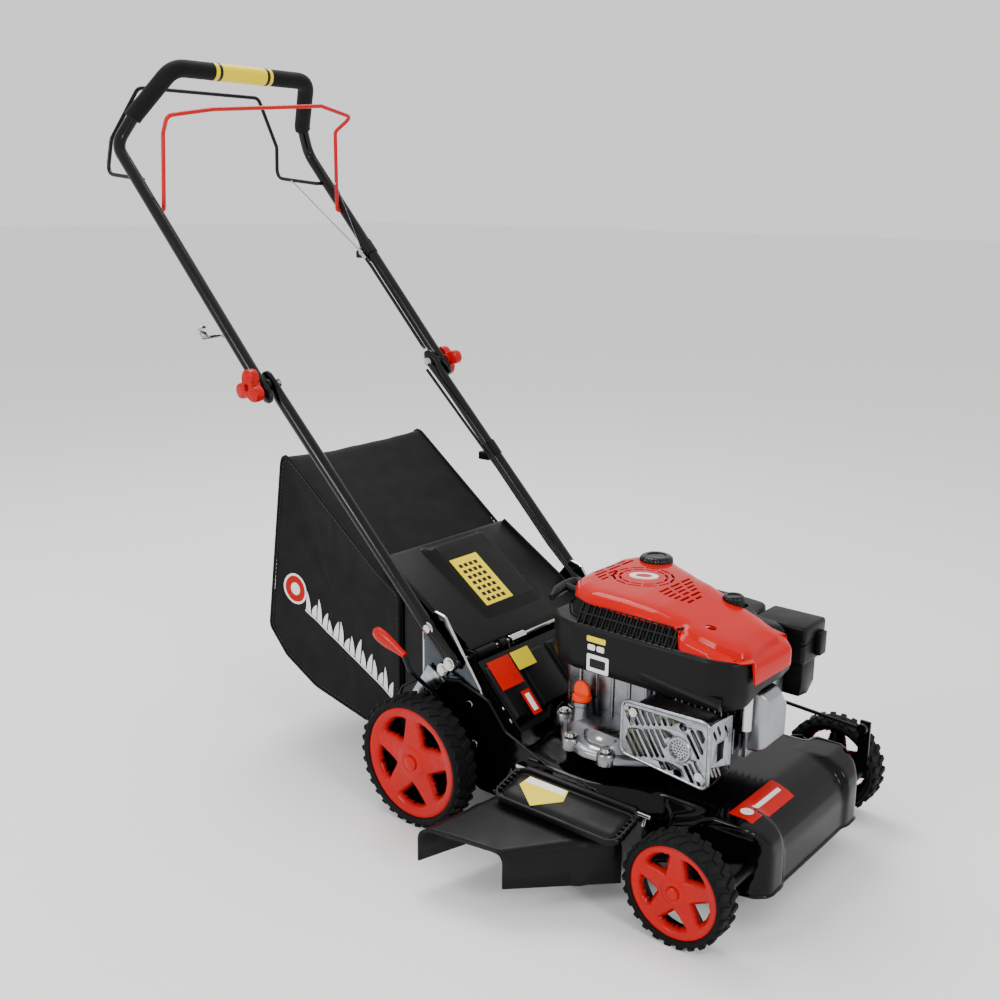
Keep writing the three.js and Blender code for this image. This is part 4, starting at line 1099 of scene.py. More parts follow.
def cutAway(body, cutter):
    # takes the cutter out of the body and gives back one plain mesh, both in millimetres
    pieces = []
    for label, shape in (("stock", body), ("cutter", cutter)):
        data = bpy.data.meshes.new(label)
        shape.to_mesh(data)
        shape.free()
        made = bpy.data.objects.new(label, data)
        scene.collection.objects.link(made)
        pieces.append(made)
    stock, tool = pieces
    drill = stock.modifiers.new("drill", "BOOLEAN")
    drill.operation = "DIFFERENCE"
    drill.solver = "EXACT"
    drill.object = tool
    drill.use_self = True
    bpy.context.view_layer.update()
    data = bpy.data.meshes.new_from_object(stock.evaluated_get(bpy.context.evaluated_depsgraph_get()))
    result = bmesh.new()
    result.from_mesh(data)
    for made in pieces:
        bpy.data.objects.remove(made)
    return result


def walled(shape, thickness):
    # gives an open skin an inner wall, so that it is closed
    bmesh.ops.recalc_face_normals(shape, faces=shape.faces)
    if sum(f.normal.z * f.calc_area() for f in shape.faces) < 0:
        bmesh.ops.reverse_faces(shape, faces=shape.faces)
    bmesh.ops.solidify(shape, geom=shape.faces[:], thickness=thickness)
    bmesh.ops.recalc_face_normals(shape, faces=shape.faces)
    return shape


def buildCowl():
    rings = cowlRings()
    skin = loft(rings, capped=False)
    # the last, innermost ring is closed along the crown
    onCrown = lambda edge: min((edge.verts[0].co - p).length for p in rings[-1]) < 0.01
    bmesh.ops.holes_fill(skin, edges=[e for e in skin.edges if e.is_boundary and onCrown(e)], sides=0)
    skin = walled(skin, cowlForm["wall"])
    screw = lathe([(0.01, 340), (7.5, 340), (7.5, 395), (0.01, 395)], (-84, -402, 0), "z", 24)
    tank = lathe([(0.01, 340), (22, 340), (22, 395), (0.01, 395)], (74, -216, 0), "z", 32)
    made = cutAway(skin, combine(cowlSlots(), screw, tank))
    piece("fan_cowl", made, cowlRed, "chassis", ["top_cowl"], crease=38)
    cup = lathe([(0.01, 354), (9, 354), (9, 366), (7.2, 368), (7, 357), (0.01, 356.5)], (-84, -402, 0), "z",
                28)
    piece("cowl_screw_cup", cup, cowlRed, "chassis")
    screw = soften(lathe([(0.01, 0), (4.6, 0), (4.8, 2), (2.4, 3), (0.01, 3.1)], (-84, -402, 356.6), "z", 20),
                   0.3, 1)
    piece("cowl_screw", screw, darkSteel, "chassis")
    # plain oval badge with a raised rim
    badge = lathe([(0.01, 2.2), (19, 2.2), (20, 2.8), (21, 2.6), (21.4, 0), (0.01, 0)], (0, 0, 0), "z", 48)
    turn = Matrix.Translation((-7, -246, 387.4)) @ Matrix.Rotation(math.radians(-62), 4, "Z") @ \
        Matrix.Diagonal((1, 0.62, 1, 1))
    piece("cowl_badge", moved(badge, turn), vinylWhite, "chassis")
    inlay = lathe([(0.01, 2.7), (11.5, 2.7), (12, 2.2), (0.01, 2.2)], (0, 0, 0), "z", 40)
    piece("cowl_badge_inlay", moved(inlay, turn), mouldedRed, "chassis")


def buildShroud():
    plan = [(-112, -163), (-132, -186), (-140, -214), (-140, -430), (-130, -462), (-108, -474), (-20, -476),
            (20, -470), (54, -430), (62, -392), (116, -384), (124, -330), (124, -222), (104, -178),
            (60, -160)]
    outline = evenly(roundCorners([Vector((x, y, 0)) for x, y in plan], 16, 5, closed=True), 200)
    heart = Vector((-8, -315, 0))
    rings = []
    for inset, z in ((8, 279), (3, 283), (0.6, 291), (0, 300), (0, 341), (1, 345), (3.4, 347.4), (7, 348),
                     (30, 348)):
        ring = []
        for p in outline:
            q = p + (heart - p).normalized() * inset
            near = easeTo(-p.x, 60, 120)  # the near wall reaches lower than the far one
            nose = easeTo(-p.y, 446, 470) * easeTo(p.x, -112, -100) * max(0, z - 322)
            ring.append(Vector((q.x, q.y, z + (1 - near) * max(0, 300 - z) * 0.8 - nose)))
        rings.append(ring)
    skin = walled(loft(rings, capped=False), 2.4)
    piece("fan_shroud", skin, mouldedBlack, "chassis", ["blower_shroud"], crease=40)
    # sloping intake panel under the cowl's edge, with a grille of upright bars and a middle bar
    spots = [(-36, -156), (-82, -167), (-114, -192), (-131, -224), (-134, -260), (-134, -376)]
    low = roundCorners([Vector((x, y, 348.5)) for x, y in spots], 24, 6)
    up = [p + (Vector((-10, -300, 0)) - Vector((p.x, p.y, 0))).normalized() * 15 + Vector((0, 0, 24))
          for p in low]
    sunk = [Vector((0, 0, -3))] * len(low)
    profile = [[p + s for p, s in zip(low, sunk)], [p.lerp(q, 0.08) for p, q in zip(low, up)],
               [p.lerp(q, 0.1) + Vector((5, 0, -4)) for p, q in zip(low, up)],
               [p.lerp(q, 0.92) + Vector((5, 0, -4)) for p, q in zip(low, up)],
               [p.lerp(q, 0.94) for p, q in zip(low, up)], up]
    panel = loft(profile, capped=False, strip=True)
    end = prism("y", -378, -374, [(-136, 347), (-128, 347), (-112, 372), (-119, 372)])
    piece("intake_panel", combine(panel, end), mouldedBlack, "chassis", crease=40)
    lean = math.atan2(24, 15)
    bars = {"Count": 16, "First": (-127.6, -222, 360), "Step": (0, -10.1, 0), "Size": (28, 2.2, 5),
            "Turn": (0, -lean, 0), "Material": mouldedBlack}
    grownPiece("intake_bars", "row", bars, "chassis", bevel=0.4)
    middle = {"Count": 1, "First": (-127.6, -298, 360), "Step": (0, 0, 0), "Size": (2.4, 156, 4.6),
              "Turn": (0, -lean, 0), "Material": mouldedBlack}
    grownPiece("intake_middle_bar", "row", middle, "chassis", bevel=0.4)
    # swept lip low on the near wall, growing towards the front
    sections = []
    for t in (0, 0.15, 0.35, 0.6, 0.85, 1):
        y, size = -318 - t * 134, 0.6 + 7.4 * t ** 0.8
        z = 303 - 8 * t
        sections.append([(-138.5, y, z + 4), (-139.8 - size * 0.8, y, z - size * 0.6),
                         (-138.6 - size * 0.7, y, z - 8),
                         (-137 - size * 0.2, y, z - 14), (-134, y, z - 15), (-134, y, z + 4)])
    piece("shroud_lip", soften(loft(sections), 1.2, 2), mouldedBlack, "chassis")
    # plain printed patches where the real one carries its notices
    labels = [("a", (-242, -273, 327, 335), vinylYellow), ("b", (-244, -256, 315, 323), vinylWhite),
              ("c", (-259, -271, 315, 323), vinylWhite), ("d", (-243, -279, 284, 309), vinylWhite),
              ("e", (-248, -274, 290, 303), vinylBlack)]
    for letter, (y1, y0, z0, z1), ink in labels:
        x = -140.9 if letter == "e" else -140.7
        card = prism("x", x, -139.9, roundCorners([Vector((y0, z0, 0)), Vector((y1, z0, 0)),
                                                   Vector((y1, z1, 0)),
                                                   Vector((y0, z1, 0))], 2, 4, closed=True))
        piece("shroud_patch_" + letter, card, ink, "chassis")


def knurledCap(name, x, y, z, radius, height, body, replaced=()):
    # knurled screw cap: lobes round the side, a dished top
    lobes = 22
    rings = []
    for r, h in ((1.0, 0), (1.0, 0.55), (0.97, 0.8), (0.9, 0.94), (0.8, 1), (0.62, 1), (0.56, 0.9),
                 (0.02, 0.88)):
        ring = []
        for k in range(lobes * 6):
            t = 2 * math.pi * k / (lobes * 6)
            grip = 1 + 0.028 * math.cos(lobes * t) * (1 if r > 0.9 else 0)
            ring.append((x + radius * r * grip * math.cos(t), y + radius * r * grip * math.sin(t),
                         z + height * h))
        rings.append(ring)
    piece(name, loft(rings), polishedBlack, body, replaced, crease=40)


def buildCasting():
    plan = [(-104, -176), (-146, -206), (-166, -256), (-160, -304), (-128, -346), (-60, -372), (30, -372),
            (106, -342), (138, -262), (122, -196), (84, -166), (-40, -160)]
    outline = evenly(roundCorners([Vector((x, y, 0)) for x, y in plan], 34, 6, closed=True), 140)
    heart = Vector((-6, -262, 0))
    rings = [[p + (heart - p).normalized() * inset + Vector((0, 0, z)) for p in outline]
             for inset, z in ((2, 164.3), (0, 166), (0, 173), (1.6, 175), (5, 176.5), (9, 178), (12, 184),
                              (17, 191), (26, 197), (40, 201), (70, 203))]
    pan = loft(rings)
    block = soften(box(-92, 76, -322, -172, 190, 300), 9, 3)
    ribs = [soften(box(-95, 79, y - 2.5, y + 2.5, 196, 296), 1.5) for y in (-200, -228, -256, -284, -312)]
    boss = moved(lathe([(0.01, 13), (10, 12), (18, 8), (22.5, 0), (24.5, -6), (0.01, -6)], (0, 0, 0), "x",
                       40),
                 Matrix.Translation((-141, -270, 184)) @ Matrix.Rotation(math.radians(180 - 34), 4, "Y") @
                 Matrix.Diagonal((1, 1.25, 0.72, 1)))
    neck = lathe([(0.01, 180), (17, 182), (14, 196), (13, 214), (15, 216), (15, 222), (0.01, 222)],
                 (-112, -217, 0), "z", 32)
    ears = [lathe([(0.01, 164.5), (13, 164.5), (13, 179), (11.5, 181), (0.01, 181)], (x, y, 0), "z", 24)
            for x, y in ((-150, -226), (-158, -292), (-112, -350), (100, -342), (128, -226), (-88, -170))]
    cast = combine(pan, block, boss, neck, *ribs, *ears)
    piece("crankcase_casting", cast, castSkin, "chassis", ["crankcase"], crease=40)
    boltsOn("crankcase_bolts", "chassis",
            [(-150, -226, 184), (-158, -292, 184), (-112, -350, 184), (100, -342, 184),
                                           (128, -226, 184), (-88, -170, 184)], alongZ, 6.2, 6, 9)
    # dipstick: a flat tapered pull on a screwed collar
    collar = lathe([(0.01, 222.3), (13, 222.3), (14, 224), (14, 229), (11, 231), (0.01, 231)],
                   (-112, -217, 0), "z", 30)
    pull = [(-10, 230), (-13.5, 238), (-12, 248), (-7, 254), (0, 256), (7, 254), (12, 248), (13.5, 238),
            (10, 230)]
    blade = soften(prism("x", -115.5, -108.5, [(-217 + a, b - 4) for a, b in pull]), 2.2, 3)
    piece("dipstick_pull", combine(collar, blade), signalOrange, "dipstick", ["dipstick"])

    core = soften(box(-42, 46, -447, -320, 192, 284), 6)
    piece("cylinder_core", core, castSkin, "chassis", ["cylinder"])
    fins = {"Count": 11, "First": (2, -338, 239), "Step": (0, -10.2, 0), "Size": (118, 3.2, 108),
            "Turn": (0, 0, 0), "Material": castSkin}
    grownPiece("cylinder_fins", "row", fins, "chassis", bevel=0.8)
    # rocker cover: pressed alloy with a sloped shoulder and a screwed flange
    flange = soften(box(-64, 14, -454, -448, 190, 292), 2)
    dome = loft([[(x, -452, z) for x, z in ((-61, 200), (4, 200), (10, 206), (10, 262), (-12, 288),
                                            (-61, 288))],
                 [(x, -470, z) for x, z in ((-60, 202), (2, 202), (8, 208), (8, 258), (-14, 284),
                                            (-60, 284))],
                 [(x, -478, z) for x, z in ((-54, 208), (-2, 208), (2, 212), (2, 254), (-18, 276),
                                            (-54, 276))]])
    piece("rocker_housing", combine(flange, soften(dome, 5, 4)), pressedAlloy, "chassis",
          ["rocker_cover"])
    lead = roundCorners([(-72, -456, 236), (-74, -456, 280), (-70, -440, 292)], 10, 6)
    tube = lathe([(0.01, 236), (8.2, 236), (8.2, 284), (7, 287), (0.01, 287)], (-73, -456, 0), "z", 28)
    boot = sweep([(-73, -456, 240), (-70, -446, 232), (-58, -436, 230)], 6.5, 16)
    piece("plug_tube", tube, chrome, "chassis", ["spark_plug"])
    piece("plug_boot", combine(boot, sweep(lead, 3, 12)), jacketPvc, "chassis")


def buildMuffler():
    can = soften(box(-146, -97, -440, -324, 180, 262), 11, 4)
    pipes = [sweep([(-147.5, y + 14, 250), (-147.5, y - 14, 196)], 3.2, 10) for y in (-350, -384, -418)]
    piece("muffler_can", combine(can, *pipes), turnedSteel, "chassis", ["muffler"])
    outline = roundCorners([Vector((-312, 263, 0)), Vector((-445, 268, 0)), Vector((-447, 174, 0)),
                            Vector((-312, 187, 0))], 11, 6, closed=True)
    angle = math.radians(57)  # slots lean down towards the front
    holes = [circle(-403, 219, 14.5, 36), circle(-407, 252, 6, 20), circle(-402, 184, 6.5, 20)]
    blocked = [(-403, 219, 22), (-407, 252, 11), (-402, 184, 12)]
    lean = Vector((math.cos(angle), math.sin(angle)))
    for k in range(20):  # each slanting line is cut into slots wherever the plate is free
        run = []
        for t in range(-110, 111):
            spot = Vector((-380 + (k - 9.5) * 10.4, 224)) + lean * t
            low, high = 188 + (spot.x + 312) * 0.09, 256 - (spot.x + 312) * 0.037
            free = -438 < spot.x < -320 and low < spot.y < high and abs((t + 3 * k) % 46) > 3
            if free and all(math.hypot(spot.x - a, spot.y - b) > r for a, b, r in blocked):
                run.append(spot)
            else:
                if len(run) > 11:
                    middle = (run[0] + run[-1]) / 2
                    holes.append(slotHole(middle.x, middle.y, len(run), 5, angle))
                run = []
    face = soften(prism("x", -152.4, -150.6, [p.xy for p in outline], holes), 0.35, 1, 50)
    rim = sweep([Vector((-151.6, p.x, p.y)) for p in outline + outline[:2]], 2.6, 12, capped=False)
    ring = lathe([(14.5, -1), (14.5, 2.2), (17, 2.2), (18.4, 0.6), (18.4, -1)], (0, 0, 0), "x", 40,
                 closed=True)
    ring = moved(ring, Matrix.Translation((-152.4, -403, 219)) @ Matrix.Scale(-1, 4, (1, 0, 0)))
    mesh = prism("x", -151.2, -149.8, circle(-403, 219, 15.5, 36),
                 [circle(-403 + r * math.cos(t), 219 + r * math.sin(t), 1.25, 8)
                  for r, n in ((0.01, 1), (4.2, 6), (8.2, 12), (12, 16))
                  for t in [2 * math.pi * i / n for i in range(n)]])
    sideHoles = [slotHole(x, z, 20, 4.2, math.radians(-58)) for x, z in
                 ((-138, 246), (-128, 250), (-142, 196), (-132, 192), (-122, 190), (-108, 244))]
    sideHoles.append([(-130, 206), (-112, 206), (-112, 232), (-130, 232)])
    back = [Vector((-146, 266, 0)), Vector((-92, 262, 0)), Vector((-92, 184, 0)), Vector((-146, 176, 0))]
    turned = soften(prism("y", -446.8, -445, [p.xy for p in roundCorners(back, 6, 4, closed=True)],
                          sideHoles),
                    0.35, 1, 50)
    corner = sweep([(-146.6, -441.2, 178), (-146.6, -441.2, 264)], 5.7, 20)
    piece("heat_guard", combine(face, rim, ring, mesh, turned, corner), zincSheet, "chassis",
          ["muffler_guard"], crease=45)
    boltsOn("guard_bolts", "chassis", [(-153.4, -330, 250), (-153.4, -434, 190)], alongX, 4.4, 3, 6.5)


def buildIntake():
    upper = soften(box(60, 122, -470, -392, 286, 340), 6, 3)
    lid = soften(box(58, 124, -472, -390, 322, 345), 5, 3)
    lower = soften(loft([[(x, y, z) for x, y in ((74, -464), (116, -464), (116, -400), (74, -400))]
                         for z in (292, 250)] +
                        [[(80, -458, 232), (110, -458, 228), (110, -406, 228), (80, -406, 232)]]), 3, 2)
    clip = soften(box(92, 112, -480, -470, 296, 330), 2, 2)
    seam = soften(box(59, 123, -471, -391, 316, 318.4), 0.8)
    piece("air_filter_housing", combine(upper, lid, lower, clip, seam), mouldedBlack, "chassis",
          ["air_filter_box"])
    bowl = lathe([(0.01, 228), (13, 228), (15, 232), (15, 244), (0.01, 246)], (80, -366, 0), "z", 28)
    throat = soften(box(62, 100, -386, -346, 240, 282), 4, 2)
    piece("carburettor_body", combine(bowl, throat,
                                      lathe([(0.01, -392), (14, -392), (14, -384), (0.01, -384)],
                                                          (82, 0, 258), "y", 28)), castSkin, "chassis",
          ["carburettor"])
    knurledCap("fuel_filler_cap", 74, -216, 379, 25, 17, "fuel_cap", ["fuel_cap"])
    knurledCap("primer_knob", 20, -378, 366, 15.5, 17, "chassis")


def buildStarter():
    bar = roundCorners([(-66, -124, 343), (-44, -119, 347), (-22, -117, 349), (0, -115, 348),
                        (22, -112, 345)], 20, 4)
    sizes = [(5, 5)] + [(8.6, 8.2 - 1.8 * math.sin(math.pi * i / (len(bar) - 1)))
                        for i in range(1, len(bar) - 1)] + \
        [(5, 5)]
    stem = sweep([(-22, -117, 349), (-22, -134, 347), (-22, -147, 347)], [(7, 7), (5, 5), (4, 4)], 14)
    piece("starter_pull", combine(sweep(bar, sizes, 20), stem), mouldedBlack, "starter_grip",
          ["starter_grip"])
    outlet = soften(loft([[(-40 + dx, -158, 338 + dz) for dx, dz in ((0, 0), (34, 0), (34, 20), (0, 20))],
                         [(-36 + dx, -148, 340 + dz) for dx, dz in ((0, 0), (26, 0), (26, 14), (0, 14))]]), 2,
                    2)
    piece("rope_exit", outlet, polishedBlack, "chassis")
    cord = sweep([(-22, -146, 347), (-22, -152, 347), (-22, -162, 347)], 2.2, 10)
    piece("starter_rope_end", cord, bagCloth, "starter_grip")


buildCowl()
buildShroud()
buildCasting()
buildMuffler()
buildIntake()
buildStarter()
print("engine built")


# body pieces round the tunnel
def buildFlap():
    pivot, edge = (-38, 252), (150, 365)
    length = math.hypot(edge[0] - pivot[0], edge[1] - pivot[1])
    ay, az = (edge[0] - pivot[0]) / length, (edge[1] - pivot[1]) / length
    at = lambda d, lift: (pivot[0] + ay * d - az * lift, pivot[1] + az * d + ay * lift)
    spots = [(0, 0.5), (6, 7.5), (14, 8.4), (length - 6, 6.6), (length, 4.6), (length + 1, 2.6),
             (length - 3, 2.8), (8, 3), (0, -1)]
    skin = soften(prism("x", -149, 149, [at(d, lift) for d, lift in spots]), 1.6, 2, 40)
    rings = []
    for x, s in ((-74, 0), (-66, 0.62), (-60, 0.9), (-52, 1), (52, 1), (60, 0.9), (66, 0.62), (74, 0)):
        hump = [(30, 5), (42, 6 + 2 * s), (60, 7 + 9 * s), (length - 40, 7 + 17 * s),
                (length - 26, 7 + 17.5 * s),
                (length - 12, 6.5 + 6 * s), (length - 5, 6), (length - 5, 4), (30, 4)]
        rings.append([(x, *at(d, lift)) for d, lift in hump])
    hump = soften(loft(rings), 1.5, 2, 20)
    rims = []
    for side in (-1, 1):
        rims.append(soften(prism("x", *sorted((side * 145, side * 149)), [at(8, 4), at(length - 2, 4),
                                                                         at(length - 2, 11), at(20, 11)]),
                           1.4, 2))
    piece("rear_flap_panel", combine(skin, hump, *rims), mouldedBlack, "rear_flap",
          ["rear_flap"], crease=40)
    knuckles = [lathe([(4.4, x0), (7.6, x0), (7.6, x1), (4.4, x1)], (0, *pivot), "x", 24, closed=True)
                for x0, x1 in ((-140, -96), (-84, -70), (70, 84), (96, 140))]
    piece("rear_flap_knuckles", combine(*knuckles), mouldedBlack, "rear_flap")
    coil = [(x, pivot[0] + 6.4 * math.cos(t), pivot[1] + 6.4 * math.sin(t)) for x, t in
            ((-60 + i * 2.3 / 12, 2 * math.pi * i / 12) for i in range(12 * 16))]
    legs = [Vector(coil[0]) + Vector((0, -16, -20)), *[Vector(p) for p in coil],
            Vector(coil[-1]) + Vector((0, 30, 22))]
    piece("flap_spring", sweep(legs, 1.1, 6), chrome, "chassis")
    top = lambda d: 7 + 9 + (8.5 * (d - 60) / (length - 100))
    panel = lambda d0, d1, x0, x1, rise: soften(loft([[(x0, *at(d0, top(d0) + rise)),
                                                       (x1, *at(d0, top(d0) + rise)),
                                                       (x1, *at(d0, top(d0) - 1)), (x0, *at(d0,
                                                                                            top(d0) - 1))],
                                                      [(x0, *at(d1, top(d1) + rise)),
                                                       (x1, *at(d1, top(d1) + rise)),
                                                       (x1, *at(d1, top(d1) - 1)),
                                                       (x0, *at(d1, top(d1) - 1))]]), 0.2, 1)
    piece("flap_patch", panel(62, 160, -58, 6, 0.6), vinylYellow, "rear_flap")
    marks = [panel(d, d + 7, x, x + 8, 0.8) for d in range(68, 150, 12) for x in (-50, -38, -26, -14)]
    piece("flap_patch_marks", combine(*marks), vinylBlack, "rear_flap")


def buildCover():
    # sloping panel between engine and tunnel, stiffened with raised facets
    slope = [(-132, 156), (-50, 243.5), (-52, 247), (-137, 158.5)]
    panel = soften(prism("x", -149.6, 149.6, slope), 1.2, 2)
    facets = []
    for x0, x1 in ((-146, -84), (-78, -8), (0, 70), (78, 144)):
        facets.append(soften(loft([[(x0, -124, 172), (x1, -124, 172), (x1, -62, 238), (x0, -62, 238)],
                                   [(x0 + 5, -126, 178), (x1 - 5, -126, 178), (x1 - 5, -70, 238),
                                    (x0 + 5, -70, 238)]]), 1.5, 2))
    keep = combine(panel, *facets)
    seat = lathe([(0.01, 130), (131, 130), (131, 176), (0.01, 176)], (0, -241, 0), "z", 64)
    piece("tunnel_cover", cutAway(keep, seat), mouldedBlack, "chassis", ["rear_cover"],
          crease=40)
    up = Vector((0, -0.73, 0.684))
    along = Vector((0, 0.684, 0.73))
    patch = lambda x0, x1, s0, s1, lift: soften(loft([[Vector((x, -127, 175)) + along * s + up * h
                                                       for x, s in ((x0, s0), (x1, s0), (x1, s1), (x0, s1))]
                                                      for h in (lift - 0.6, lift)]), 0.15, 1)
    piece("cover_patch_red", patch(-148, -98, 46, 94, 7.4), vinylRed, "chassis")
    piece("cover_patch_yellow", patch(-94, -52, 64, 94, 7.4), vinylYellow, "chassis")
    piece("cover_patch_mark", patch(-118, -98, -6, 34, 7.6), vinylRed, "chassis")
    piece("cover_patch_mark_bar", patch(-113, -103, 0, 28, 7.8), vinylWhite, "chassis")


def buildSideFlap():
    x, z = -190, 130
    outline = evenly(roundCorners([Vector((-2, -378, 0)), Vector((-70, -378, 0)), Vector((-70, -170, 0)),
                                   Vector((-2, -170, 0))], 22, 7, closed=True), 140)
    tilt = lambda p, lift: (x + p.x * 0.963 - lift * 0.27, p.y, z + p.x * 0.275 + lift)
    spine = [Vector((-36, max(-352, min(-196, p.y)), 0)) for p in outline]
    ring = lambda inset, lift: [tilt(p + (h - p).normalized() * inset, lift) for p, h in zip(outline, spine)]
    plateau = [ring(0, -1), ring(0, 6.4), ring(0.9, 7.6), ring(3, 7.6), ring(4, 6), ring(4.4, 2.2),
               ring(9, 2), ring(10, 3.2), ring(11.5, 4.4), ring(24, 4.6)]
    piece("side_flap_panel", loft(plateau), mouldedBlack, "side_flap", ["side_flap"],
          crease=45)
    for y, name in ((-374, "front"), (-174, "rear")):
        ribs = {"Count": 7, "First": tuple(tilt(Vector((-13, y, 0)), 5)),
                "Step": (-8.2 * 0.963, 0, -8.2 * 0.275),
                "Size": (2.4, 10, 4.4), "Turn": (0, -0.275, 0), "Material": mouldedBlack}
        grownPiece("side_flap_notches_" + name, "row", ribs, "side_flap", bevel=0.4)
    barrel = lathe([(3.4, -366), (6.4, -366), (6.4, -182), (3.4, -182)], (x, 0, z), "y", 24, closed=True)
    piece("side_flap_barrel", barrel, mouldedBlack, "side_flap")
    shape = lambda pts, lift: loft([[tilt(Vector((a, b, 0)), h) for a, b in pts] for h in (lift - 0.8, lift)])
    piece("side_flap_patch", soften(shape([(-14, -198), (-14, -264), (-34, -270), (-62, -234), (-34, -194)],
                                          5.4),
                                    0.2, 1), vinylYellow, "side_flap")
    piece("side_flap_patch_top", soften(shape([(-15, -199.5), (-15, -262.5), (-25, -266), (-26, -197)], 5.6),
                                        0.1, 1), vinylWhite, "side_flap")
    for y, name in ((-386, "front"), (-164, "rear")):
        tail = sweep(roundCorners([(x, y, z), (x, y - math.copysign(6, y + 275), z),
                                   (x - 3, y - math.copysign(8, y + 275), z - 14)], 4, 5), 2.2, 10)
        piece("side_flap_spring_" + name, tail, chrome, "chassis")


def buildChute():
    plan = [Vector((-222, -160, 0)), Vector((-356, -123, 0)), Vector((-336, -256, 0)),
            Vector((-222, -366, 0))]
    roof = lambda px: 87 + (px + 380) * 23 / 180
    sections = []
    for s in np.linspace(0, 1, 15):
        rear, front = plan[0].lerp(plan[1], s), plan[3].lerp(plan[2], s)
        zr, zf = roof(rear.x), roof(front.x)
        line = [Vector((rear.x, rear.y, 40)), Vector((rear.x, rear.y, zr)), Vector((front.x, front.y, zf)),
                Vector((front.x, front.y, 40))]
        sections.append(roundCorners(line, 20, 8))
    hood = loft(sections, capped=False, strip=True)
    bmesh.ops.recalc_face_normals(hood, faces=hood.faces)
    if sum(f.normal.z * f.calc_area() for f in hood.faces) < 0:
        bmesh.ops.reverse_faces(hood, faces=hood.faces)
    made = piece("side_chute_hood", hood, mouldedBlack, "side_chute", ["side_chute"],
                 crease=40)
    wall = made.modifiers.new("wall", "SOLIDIFY")
    wall.thickness = 0.003
    wall.offset = -1
    raised = []
    for section, lift in ((sections[4], 0.2), (sections[5], 1.8), (sections[6], 0.2)):
        middle = sum(section, Vector()) / len(section)
        raised.append([p + (p - middle).normalized() * lift for p in section])
    piece("side_chute_rib", loft(raised, capped=False, strip=True), mouldedBlack, "side_chute",
          crease=40)


def buildBrackets():
    outline = [Vector(p + (0,)) for p in [(-76, 217), (-8, 312), (14, 317), (36, 290), (36, 184), (-30, 180),
                                          (-36, 98), (-72, 98), (-95, 150), (-92, 182)]]
    shape = [p.xy for p in roundCorners(outline, 8, 5, closed=True)]
    for side, name in ((-1, "right"), (1, "left")):
        holes = [circle(y, z, 4.6, 18) for y, z in ((12, 295), (-31, 250), (-4, 229))]
        plate = soften(prism("x", *sorted((side * 170.4, side * 173.2)), shape, holes), 0.5, 2, 50)
        ridge = [Vector((side * 171.6, *p)) for p in shape]
        lip = sweep(ridge + ridge[:1], 2.1, 8, capped=False)
        shelf = soften(box(*sorted((side * 153.4, side * 171)), -30, 34, 186, 189), 0.8)
        brace = soften(prism("x", *sorted((side * 165, side * 171)),
                             [(-80, 205), (-76, 212), (30, 196), (34, 188)]), 2)
        piece(name + "_bracket_plate", combine(plate, brace), platedZinc, "chassis",
              [name + "_handle_bracket"], crease=40)
        # painted highlight: the rolled lip and the shelf belong to the plate's own zinc sheet, but are given
        # bright chrome where light catches them
        piece(name + "_bracket_edge", combine(lip, shelf), chrome, "chassis", crease=40)
        boltsOn(name + "_tube_bolts", "chassis", [(side * 190.4, 12, 295), (side * 190.4, -31, 250)], alongX,
                7.5, 7, 10.5)
        boltsOn(name + "_bracket_bolt", "chassis", [(side * 175.6, -4, 229)], alongX, 7.5, 6, 10.5)
        boltsOn(name + "_tunnel_bolts", "chassis", [(side * 175, -60, 190), (side * 175, -70, 130)], alongX,
                6.2, 5, 9)


def buildLever():
    stem = roundCorners([(-188.5, -46, 116), (-190, 0, 196), (-222, 18, 236), (-225, 27, 258)], 18, 8)
    foot = lathe([(0.01, -187.5), (11, -187.5), (11, -184.6), (0.01, -184.6)], (0, -54, 110), "x", 28)
    piece("cut_height_lever", combine(sweep(stem, [(2.2, 5)] * len(stem), 14, across=(1, 0, 0)), foot),
          darkSteel, "rear_axle", ["height_lever"])
    thin, thick = Vector((-225, 28.8, 260.9)), Vector((-225, 88, 283))
    way = (thick - thin).normalized()
    line, sizes = [], []
    for d, a, b in ((-4, 4.4, 4.4), (0, 5, 5.2), (10, 5.4, 6.6), (22, 6.2, 9), (36, 7.2, 11), (48, 7.6, 11.6),
                    (57, 7, 10.6), (62, 5.4, 8), (65, 2, 3)):
        line.append(thin + way * d)
        sizes.append((a, b))
    piece("cut_height_grip", sweep(line, sizes, 24, across=(1, 0, 0)), mouldedRed, "rear_axle",
          ["lever_grip"])
    teeth = [(-12, 214), (4, 196), (10, 198), (14, 190), (21, 192), (25, 182), (32, 183), (36, 172),
             (42, 160), (60, 172), (22, 232)]
    piece("height_plate_notched", soften(prism("x", -178.6, -175.6, teeth), 0.5), zincSheet, "chassis",
          ["height_plate"])


buildFlap()
buildCover()
buildSideFlap()
buildChute()
buildBrackets()
buildLever()
print("body pieces built")

# small things on the deck, the bag and the grip
def stuckOn(target, net, way, lift=0.5):
    # a net of points is thrown along a direction onto a piece, so that a patch follows its surface
    graph = bpy.context.evaluated_depsgraph_get()
    seen = bpy.data.objects[target].evaluated_get(graph)
    along = Vector(way).normalized()
    back = toScene.inverted()
    rows = []
    for line in net:
        row = []
        for p in line:
            start = toScene @ Vector(p)
            hit, spot, _, _ = seen.ray_cast(start, along)
            row.append(back @ (spot if hit else start) - along * lift)
        rows.append(row)
    card = loft(rows, capped=False, strip=True)
    bmesh.ops.recalc_face_normals(card, faces=card.faces)
    if sum(f.normal.dot(along) * f.calc_area() for f in card.faces) > 0:
        bmesh.ops.reverse_faces(card, faces=card.faces)
    return card


def patchOn(name, target, net, way, ink, lift=0.5):
    return piece(name, stuckOn(target, net, way, lift), ink, bodyOf[target], crease=60)


bodyOf = {"deck_shell": "chassis", "bag_cloth_shell": "grass_bag"}


